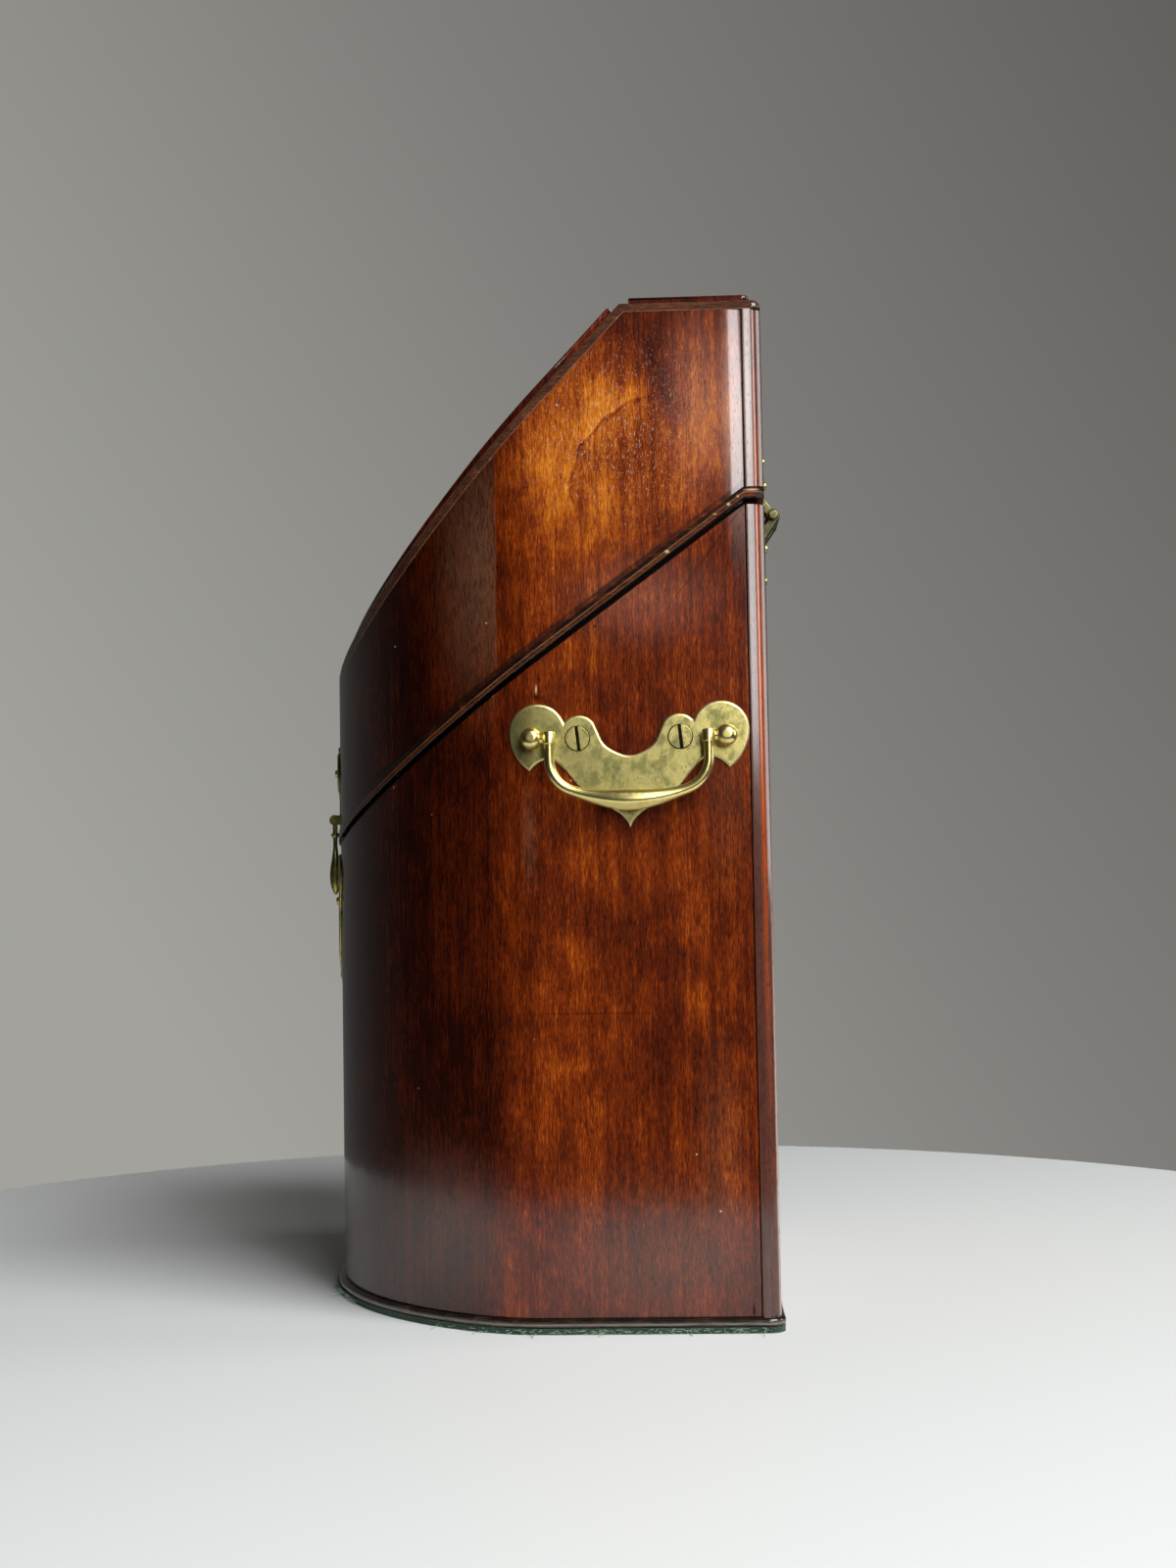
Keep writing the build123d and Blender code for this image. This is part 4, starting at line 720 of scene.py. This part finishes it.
# %% Corner strips
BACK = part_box("case_back")[1].y
BEAD = 1.8 * MM
BEAD_MIDDLE = Vector((HALF - BEAD, BACK - 7.0 * MM + BEAD, 0))
LEAN = math.radians(7)
WORN = 0.92                    # share of the bead's curve that is gone
PRESSED = (math.radians(-82), math.radians(60))     # how far round the bead, from its lean
ROUND = 3.3 * MM
ROUND_MIDDLE = Vector((HALF - 4.2 * MM, BACK - ROUND, 0))
FLAT_LEAN, FLAT_HALF = math.radians(48), math.radians(26)       # the flat's direction and half width
FLAT_WORN = 0.8


def worn_bead(shape):
    """Presses the beads' outer face towards a plane, and wears a flat on the round behind them."""
    facing = Vector((math.cos(FLAT_LEAN), math.sin(FLAT_LEAN), 0))
    for vert in shape.verts:
        side = math.copysign(1, vert.co.x)
        spoke = Vector((abs(vert.co.x), vert.co.y, 0)) - BEAD_MIDDLE
        turn = math.atan2(spoke.y, spoke.x) - LEAN
        if abs(spoke.length - BEAD) < 0.1 * MM and PRESSED[0] < turn < PRESSED[1]:
            push = WORN * BEAD * (1 - math.cos(turn))
            vert.co.x += side * push * math.cos(LEAN)
            vert.co.y += push * math.sin(LEAN)
            continue
        spoke = Vector((abs(vert.co.x), vert.co.y, 0)) - ROUND_MIDDLE
        proud = spoke.dot(facing) - ROUND * math.cos(FLAT_HALF)
        if abs(spoke.length - ROUND) < 0.15 * MM and proud > 0:
            vert.co.x -= side * facing.x * proud * FLAT_WORN
            vert.co.y -= facing.y * proud * FLAT_WORN
    return shape


for name in ("case_corner_beads", "lid_corner_beads"):
    finished(worn_bead(eased(name, 0.15, least=LEAST_EDGE, corner=50)), name + "_strip", [name],
             red_mahogany, sharp=30)
print("rack boards and corner strips softened")

# %% [markdown]
# The brass plates are thin castings with a filed, sloping rim. Hands and polishing cloths have kept
# it bright while the flat went dull, so it has its own finish. An inset of the front faces gives the
# rim its width, and pressing its outer corners back towards the wood gives it the slope. The hinge
# leaves are thicker and plainer, so a bevel is enough.

# %% Brass plates
RIM_WIDTH = 0.85
PLATES = {"handle_plate_right": 0.55, "handle_plate_left": 0.55, "lock_plate": 0.5, "lid_plate": 0.5}
CLEANED = math.radians(5)      # facets of an outline that turn less than this are joined
FACING = 0.9                   # cosine that tells a plate's front faces from its edges


def file_rim(name, drop):
    """A copy of a plate whose front has a sloping rim, drop mm deep at the outside."""
    shape = merged(name, CLEANED)
    shape.normal_update()
    front = [face for face in shape.faces
             if face.normal.dot(outward(face.calc_center_median())) > FACING]
    rim = bmesh.ops.inset_region(shape, faces=front, thickness=RIM_WIDTH * MM, use_boundary=True,
                                 use_even_offset=True)["faces"]
    inner = {vert for face in front for vert in face.verts}
    for face in rim:
        face.material_index = 1
    for vert in {vert for face in rim for vert in face.verts} - inner:
        vert.co -= outward(vert.co) * drop * MM
    return shape


for name, drop in PLATES.items():
    finished(file_rim(name, drop), name + "_brass", [name], on_outline=True, rim=filed_brass)
for name in ("hinge_leaves_case", "hinge_leaves_lid"):
    finished(eased(name, 0.5, steps=3), name + "_brass", [name], dark_brass)
print("plates filed:", len(PLATES))

# %% [markdown]
# Screws, posts and bails are round work, made on a lathe or filed up round. A turned form is a chain
# of points spun round an axis, which follows the maker's own way and keeps each radius a number.

# %% Turned work
BALL = 3.9                     # radius of a post's ball, mm
SCREW_HEAD = 4.6               # radius of a screw's head
post_low, post_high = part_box("handle_posts_right")
screw_low, screw_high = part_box("handle_screws_right")
PLATE_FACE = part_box("handle_plate_right")[1].x
PIVOT_X = post_high.x - BALL * MM
PIVOT_Z = (post_low.z + post_high.z) / 2
POST_Y = (post_low.y + BALL * MM, post_high.y - BALL * MM)
INWARD = (1, -1)               # from each post towards the other, along Y
SCREW_Y = (screw_low.y + SCREW_HEAD * MM, screw_high.y - SCREW_HEAD * MM)


def place_towards(foot, along):
    """A matrix that stands +Z along a direction, from a foot."""
    return Matrix.Translation(foot) @ Vector(along).to_track_quat("Z", "Y").to_matrix().to_4x4()


def since(before, things):
    """The faces or edges that use no vertex from before."""
    return [thing for thing in things if thing.verts[0] not in before]


def turned(shape, profile, foot, along, segments=40):
    """Adds (distance, radius) points in mm, spun round the direction along that starts at foot."""
    before = set(shape.verts)
    chain = [shape.verts.new((radius * MM, 0, distance * MM)) for distance, radius in profile]
    edges = [shape.edges.new(pair) for pair in zip(chain, chain[1:])]
    bmesh.ops.spin(shape, geom=chain + edges, cent=(0, 0, 0), axis=(0, 0, 1), angle=math.tau,
                   steps=segments, use_merge=True)
    grown = [vert for vert in shape.verts if vert not in before]
    bmesh.ops.remove_doubles(shape, verts=grown, dist=MERGE)
    grown = [vert for vert in shape.verts if vert not in before]
    bmesh.ops.recalc_face_normals(shape, faces=since(before, shape.faces))
    bmesh.ops.transform(shape, matrix=place_towards(foot, along), verts=grown)


print("pivots at height", round(PIVOT_Z, 4), "and depths", [round(y, 4) for y in POST_Y])

# %% [markdown]
# Each brass screw head is a low disc with two half rounds on it, and its hand-cut slot, never quite
# upright, is the space between them. Cutting the slot out of a whole head would need a boolean; two
# halves need only a bisect, and their rims take a bevel. The floor of the slot holds dirt.

# %% Screws
# (distance, radius) points of the low disc, up to the floor of the slot
EASE = math.sqrt(0.5)
SCREW = [(0, 0), (0, SCREW_HEAD), (0.12, SCREW_HEAD), (0.12 + 0.1 * EASE, SCREW_HEAD * EASE), (0.24, 0)]
SLOT_HALF = 0.55               # half the width of the slot
SLOT_TURN = math.radians(6)
SLOT_RING = 0.3                # width of the dirty ring round the half rounds
HALF_FOOT, HALF_RISE, HALF_EDGE = 0.2, 0.48, 0.2        # the half rounds: foot, height, rounding


def slotted_screw(shape, y):
    """A screw head in the right handle plate, at depth y; the slot's floor has material index 1."""
    foot, away, older = (PLATE_FACE, y, PIVOT_Z), (1, 0, 0), set(shape.verts)
    turned(shape, SCREW, foot, away)
    for face in since(older, shape.faces):
        face.material_index = 1
    for side in (-1, 1):
        before = set(shape.verts)
        disc = bmesh.ops.create_circle(shape, cap_ends=True, segments=64,
                                       radius=(SCREW_HEAD - SLOT_RING) * MM)
        geom = disc["verts"] + since(before, shape.edges) + since(before, shape.faces)
        bmesh.ops.bisect_plane(shape, geom=geom, plane_co=(side * SLOT_HALF * MM, 0, 0),
                               plane_no=(side, 0, 0), clear_inner=True)
        lifted = bmesh.ops.extrude_face_region(shape, geom=since(before, shape.faces))["geom"]
        top = [vert for vert in lifted if isinstance(vert, bmesh.types.BMVert)]
        bmesh.ops.translate(shape, verts=top, vec=(0, 0, HALF_RISE * MM))
        rim = [edge for edge in lifted if isinstance(edge, bmesh.types.BMEdge)]
        bmesh.ops.bevel(shape, geom=rim, affect="EDGES", offset_type="OFFSET", offset=HALF_EDGE * MM,
                        segments=3, profile=0.5, material=-1)
        grown = [vert for vert in shape.verts if vert not in before]
        bmesh.ops.recalc_face_normals(shape, faces=since(before, shape.faces))
        turn = Matrix.Rotation(SLOT_TURN, 4, "Z") @ Matrix.Translation((0, 0, HALF_FOOT * MM))
        bmesh.ops.transform(shape, matrix=place_towards(foot, away) @ turn, verts=grown)


def on_both_sides(build, node, kind, finish, **how):
    """Builds a form for the right side, and its mirror image for the left."""
    for side in ("right", "left"):
        shape = bmesh.new()
        build(shape)
        if side == "left":
            bmesh.ops.scale(shape, vec=(-1, 1, 1), verts=shape.verts)
            bmesh.ops.reverse_faces(shape, faces=shape.faces)
        finished(shape, f"{node}_{side}_{kind}", [f"{node}_{side}"], finish, **how)


def two_screws(shape):
    """Both screws of a handle plate."""
    for y in SCREW_Y:
        slotted_screw(shape, y)


on_both_sides(two_screws, "handle_screws", "heads", brass, rim=slot_dirt)
print("screws at depths", [round(y, 4) for y in SCREW_Y])

# %% [markdown]
# A post is a cast ball on a short stem, with a flange where it meets the plate and a collar where the
# bail's pin goes in. The casting was filed by hand, so the front of the ball is a little flat.

# %% Ball-headed posts
# (distance, radius) points: a post's from the plate, a collar's from the middle of the ball
REACH = (PIVOT_X - PLATE_FACE) / MM
TURNS = [math.radians(-58 + 12 * step) for step in range(11)]
POST = [(-0.4, 0), (-0.4, 3.5), (0.35, 3.5), (0.6, 3.3), (0.85, 2.7), (REACH - 3.6, 2.35)]
POST += [(REACH + BALL * math.sin(turn), BALL * math.cos(turn)) for turn in TURNS]
POST += [(REACH + 3.45, 1.2), (REACH + 3.5, 0)]
COLLAR = [(2.9, 0), (2.9, 2.1), (4.25, 2.1), (4.4, 1.9), (4.4, 0)]


def two_posts(shape):
    """Both posts of a handle, whose collars face each other."""
    for y, inward in zip(POST_Y, INWARD):
        turned(shape, POST, (PLATE_FACE, y, PIVOT_Z), (1, 0, 0))
        turned(shape, COLLAR, (PIVOT_X, y, PIVOT_Z), (0, inward, 0), segments=24)


on_both_sides(two_posts, "handle_posts", "turned", bright_brass, sharp=40)
print("posts turned about a ball of radius", BALL, "mm")

# %% [markdown]
# A bail is a cast swan-neck: thin legs with a squared shoulder at each pivot, and a grip that swells
# in the middle and has a flat filed along its lower front. It is drawn as rings along its line, each
# with its own radius and flat, bridged one to the next.

# %% Bails
LEG, GRIP = 1.85, 3.75         # radii, mm
PIN, PIN_FROM = 1.2, 3.6       # radius of a pivot pin, and how far from its post's middle it starts
LEG_INSET = 6.5                # a leg's middle from its post's
DROP = 22.5                    # pivots to the middle of the grip
CORNER = 11.5                  # radius of the bend from leg to grip
CORNER_TURN = math.radians(70)
LEG_Y = (POST_Y[1] - POST_Y[0]) / 2 / MM - LEG_INSET
GRIP_LINE = (LEG_Y - CORNER * (1 - math.cos(CORNER_TURN))) / math.cos(CORNER_TURN)
STRAIGHT = DROP - CORNER * math.sin(CORNER_TURN) - GRIP_LINE * (1 - math.sin(CORNER_TURN))
FLAT_FROM, FLAT_TO = math.radians(-78), math.radians(-16)
GRIP_STEPS, BEND_STEPS = 12, 10
# (height, radius) of the squared shoulder at a pivot
SHOULDERS = [(-4.0, 1.85), (-2.3, 1.9), (-1.9, 2.3), (1.7, 2.3), (2.2, 2.0), (2.3, 1.5)]


def bail_stations():
    """(along, height, slope, radius, flat) from the middle of the grip up to one pivot, in mm."""
    rest = math.pi / 2 - CORNER_TURN
    for step in range(GRIP_STEPS + 1):
        angle = rest * step / GRIP_STEPS
        swell = (1 + math.cos(math.pi * step / GRIP_STEPS)) / 2
        yield (GRIP_LINE * math.sin(angle), GRIP_LINE * (1 - math.cos(angle)) - DROP, angle,
               LEG + (GRIP - LEG) * swell, min(1.0, 1.6 * swell))
    for step in range(1, BEND_STEPS + 1):
        turn = CORNER_TURN * (1 - step / BEND_STEPS)
        yield (LEG_Y - CORNER * (1 - math.cos(turn)), -STRAIGHT - CORNER * math.sin(turn),
               math.pi / 2 - turn, LEG, 0.0)
    for height, radius in SHOULDERS:
        yield LEG_Y, height, math.pi / 2, radius, 0.0


def ring(shape, station, side):
    """One ring of the bail about the pivots' middle; side is 1 or -1 along Y."""
    along, height, slope, radius, flat = station
    made = bmesh.ops.create_circle(shape, cap_ends=False, segments=32, radius=radius * MM)["verts"]
    chord = radius * MM * math.cos((FLAT_TO - FLAT_FROM) / 2)
    middle = Vector((math.cos((FLAT_FROM + FLAT_TO) / 2), math.sin((FLAT_FROM + FLAT_TO) / 2), 0))
    for vert in made:
        over_flat = vert.co.dot(middle) - chord
        if over_flat > 0:
            vert.co -= middle * over_flat * flat
    # the ring's own X looks away from the box, its Y up from the line, its Z along the line
    run = Vector((0, side * math.cos(slope), math.sin(slope)))
    away = Vector((1, 0, 0))
    axes = Matrix((away, away.cross(run) * side, -run * side)).transposed().to_4x4()
    foot = Vector((PIVOT_X, (POST_Y[0] + POST_Y[1]) / 2 + side * along * MM, PIVOT_Z + height * MM))
    bmesh.ops.transform(shape, matrix=Matrix.Translation(foot) @ axes, verts=made)
    return list({edge for vert in made for edge in vert.link_edges})


def cast_bail(shape):
    """A whole bail: its rings bridged and closed, and the pins that reach into the posts."""
    half = list(bail_stations())
    rings = [ring(shape, station, -1) for station in half[:0:-1]]
    rings += [ring(shape, station, 1) for station in half]
    for one, two in zip(rings, rings[1:]):
        bmesh.ops.bridge_loops(shape, edges=one + two)
    for end in (rings[0], rings[-1]):
        bmesh.ops.contextual_create(shape, geom=end)
    bmesh.ops.recalc_face_normals(shape, faces=shape.faces)
    pin = [(PIN_FROM, 0), (PIN_FROM, PIN), (LEG_INSET, PIN), (LEG_INSET, 0)]
    for y, inward in zip(POST_Y, INWARD):
        turned(shape, pin, (PIVOT_X, y, PIVOT_Z), (0, inward, 0), segments=20)


on_both_sides(cast_bail, "bail", "cast", bright_brass, sharp=35)
print("rings in a bail:", 2 * len(list(bail_stations())) - 1)

# %% [markdown]
# The cut edge of the baize has grown a fringe of lint. Each hair is two thin rods, set along the
# case's outline and bent by chance, and one in forty is longer and curls. Seeding the generator gives
# the same fringe every time.

# %% Lint on the baize
HAIRS = 620
HAIR = 0.12                    # radius, mm
LONG_EVERY, LONG, SHORT = 40, 9, 2      # one hair in so many is long; rods in a long and a short one
ON_SIDE, ON_SHOULDER = 0.45, 0.6        # shares of the outline up to the side's and the shoulder's end
FOOT_HEIGHT, ROD_LENGTH = (0.3, 1.8), (0.5, 1.3)        # mm
OUTWARD, SPREAD = 0.7, 1.6     # how far a hair points away from the box, and to either side at most
chance = random.Random(7)
lint_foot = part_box("base_baize")[1].x - HALF


def outline_place():
    """A random place on the case's outline, and the direction square to it."""
    side = chance.choice((-1, 1))
    pick = chance.random()
    if pick < ON_SIDE:
        place = Vector((side * HALF, chance.uniform(SHOULDER_Y, BACK - 3 * MM), 0))
    elif pick < ON_SHOULDER:
        turn = chance.uniform(0, math.pi / 2 - SWEEP)
        place = Vector((side * (SHOULDER_X + SHOULDER_RADIUS * math.cos(turn)),
                        SHOULDER_Y - SHOULDER_RADIUS * math.sin(turn), 0))
    else:
        turn = chance.uniform(0, SWEEP)
        place = Vector((side * BOW_RADIUS * math.sin(turn),
                        BOW_CENTRE - BOW_RADIUS * math.cos(turn), 0))
    return place, outward(place)


lint = bmesh.new()
for number in range(HAIRS):
    place, away = outline_place()
    rods = LONG if number % LONG_EVERY == 0 else SHORT
    across = away.cross(Vector((0, 0, 1))) * chance.uniform(-SPREAD, SPREAD)
    place += away * lint_foot + Vector((0, 0, chance.uniform(*FOOT_HEIGHT) * MM))
    way = (away * OUTWARD + across + Vector((0, 0, chance.uniform(-0.15, 0.5)))).normalized()
    for _ in range(rods):
        length = chance.uniform(*ROD_LENGTH)
        rod = bmesh.ops.create_cone(lint, cap_ends=True, segments=3, radius1=HAIR * MM,
                                    radius2=HAIR * 0.7 * MM, depth=length * MM)["verts"]
        middle = place + way * length / 2 * MM
        middle.z = max(middle.z, 0.15 * MM)
        bmesh.ops.transform(lint, matrix=place_towards(middle, way), verts=rod)
        place = place + way * length * MM
        way = (way + Vector((0, 0, -0.2)) + across * chance.uniform(-0.5, 0.5)).normalized()
for vert in lint.verts:
    vert.co.z = max(vert.co.z, 0.05 * MM)
fringe = placed(lint, "baize_lint", cloth("baize_lint_fibre", "4c6f5a", "a9b8a6", 0.7, 0.3, "c5d2c6"))
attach(fringe, bodies["base_baize"])
print("hairs of lint:", HAIRS)

# %% [markdown]
# The window is a large soft lamp, high on the right. A narrower one gives the long white reflection
# down the lid, and a third, behind, picks out the worn arris of the corner strip. The camera's own
# rays see a grey wall and all others the dim room, so the background can be pale without lighting
# the box.

# %% Floor and lights
FLOOR_MIDDLE = Vector((-11, 9, 0)) * MM
FLOOR_RADIUS = 411 * MM
pale, tree = material("pale_floor")
shader = add(tree, "BsdfPrincipled", Base_Color=colour("dfe2e1"), Roughness=0.5)
add(tree, "OutputMaterial", Surface=shader.outputs[0])
disc = bmesh.new()
bmesh.ops.create_circle(disc, cap_ends=True, segments=256, radius=FLOOR_RADIUS,
                        matrix=Matrix.Translation(FLOOR_MIDDLE))
floor = placed(disc, "floor", pale)

world = bpy.data.worlds.new("studio")
bpy.context.scene.world = world
world.use_nodes = True
tree = world.node_tree
tree.nodes.clear()
ways = add(tree, "SeparateXYZ", _0=add(tree, "TexCoord").outputs["Generated"])
# what lights the box: a grey wall behind it, a dim ceiling, and a dark room in front
room = colour("545351")
for axis, low, high, text in ((0, -0.75, 0.1, "141312"), (2, 0.3, 0.9, "454341")):
    share = add(tree, "MapRange", SMOOTH, Value=ways.outputs[axis], From_Min=low,
                From_Max=high).outputs[0]
    room = add(tree, "Mix", COLOURS, _0=share, _6=room, _7=colour(text)).outputs[2]
# what the camera sees is one grey wall, lighter low on the left
fall = total(tree, 0.0, [(ways.outputs[1], 1.56), (ways.outputs[2], 0.95)])
fall = add(tree, "MapRange", Value=fall, From_Min=-0.45, From_Max=0.75).outputs[0]
wall = stained(add(tree, "ValToRGB", _0=fall), [(0.0, "a3a29d"), (0.55, "7f7e7a"), (1.0, "62605c")])
seen = add(tree, "LightPath").outputs["Is Camera Ray"]
shown = add(tree, "Mix", COLOURS, _0=seen, _6=room, _7=wall).outputs[2]
back = add(tree, "Background", Color=shown, Strength=1.0)
add(tree, "OutputWorld", Surface=back.outputs[0])


def lamp(name, place, aim, size, power):
    """A soft rectangular lamp at a place, turned to its aim; size is (across, up) in metres."""
    data = bpy.data.lights.new(name, "AREA")
    data.shape = "RECTANGLE"
    data.size, data.size_y = size
    data.energy = power
    made = bpy.data.objects.new(name, data)
    made.location = place
    made.rotation_euler = (Vector(aim) - Vector(place)).to_track_quat("-Z", "Y").to_euler()
    made.visible_camera = False
    bpy.context.scene.collection.objects.link(made)


lamp("window", (1.1, 1.05, 1.5), (0, 0, 0.2), (1.2, 1.3), 55)
lamp("strip", (1.66, 0.55, 0.68), (0.1, 0.08, 0.3), (0.5, 0.74), 11)
lamp("arris", (-0.08, 1.42, 0.56), (0.1, 0.08, 0.36), (0.34, 0.8), 4.6)
print("lamps:", [lit.name for lit in bpy.data.lights])
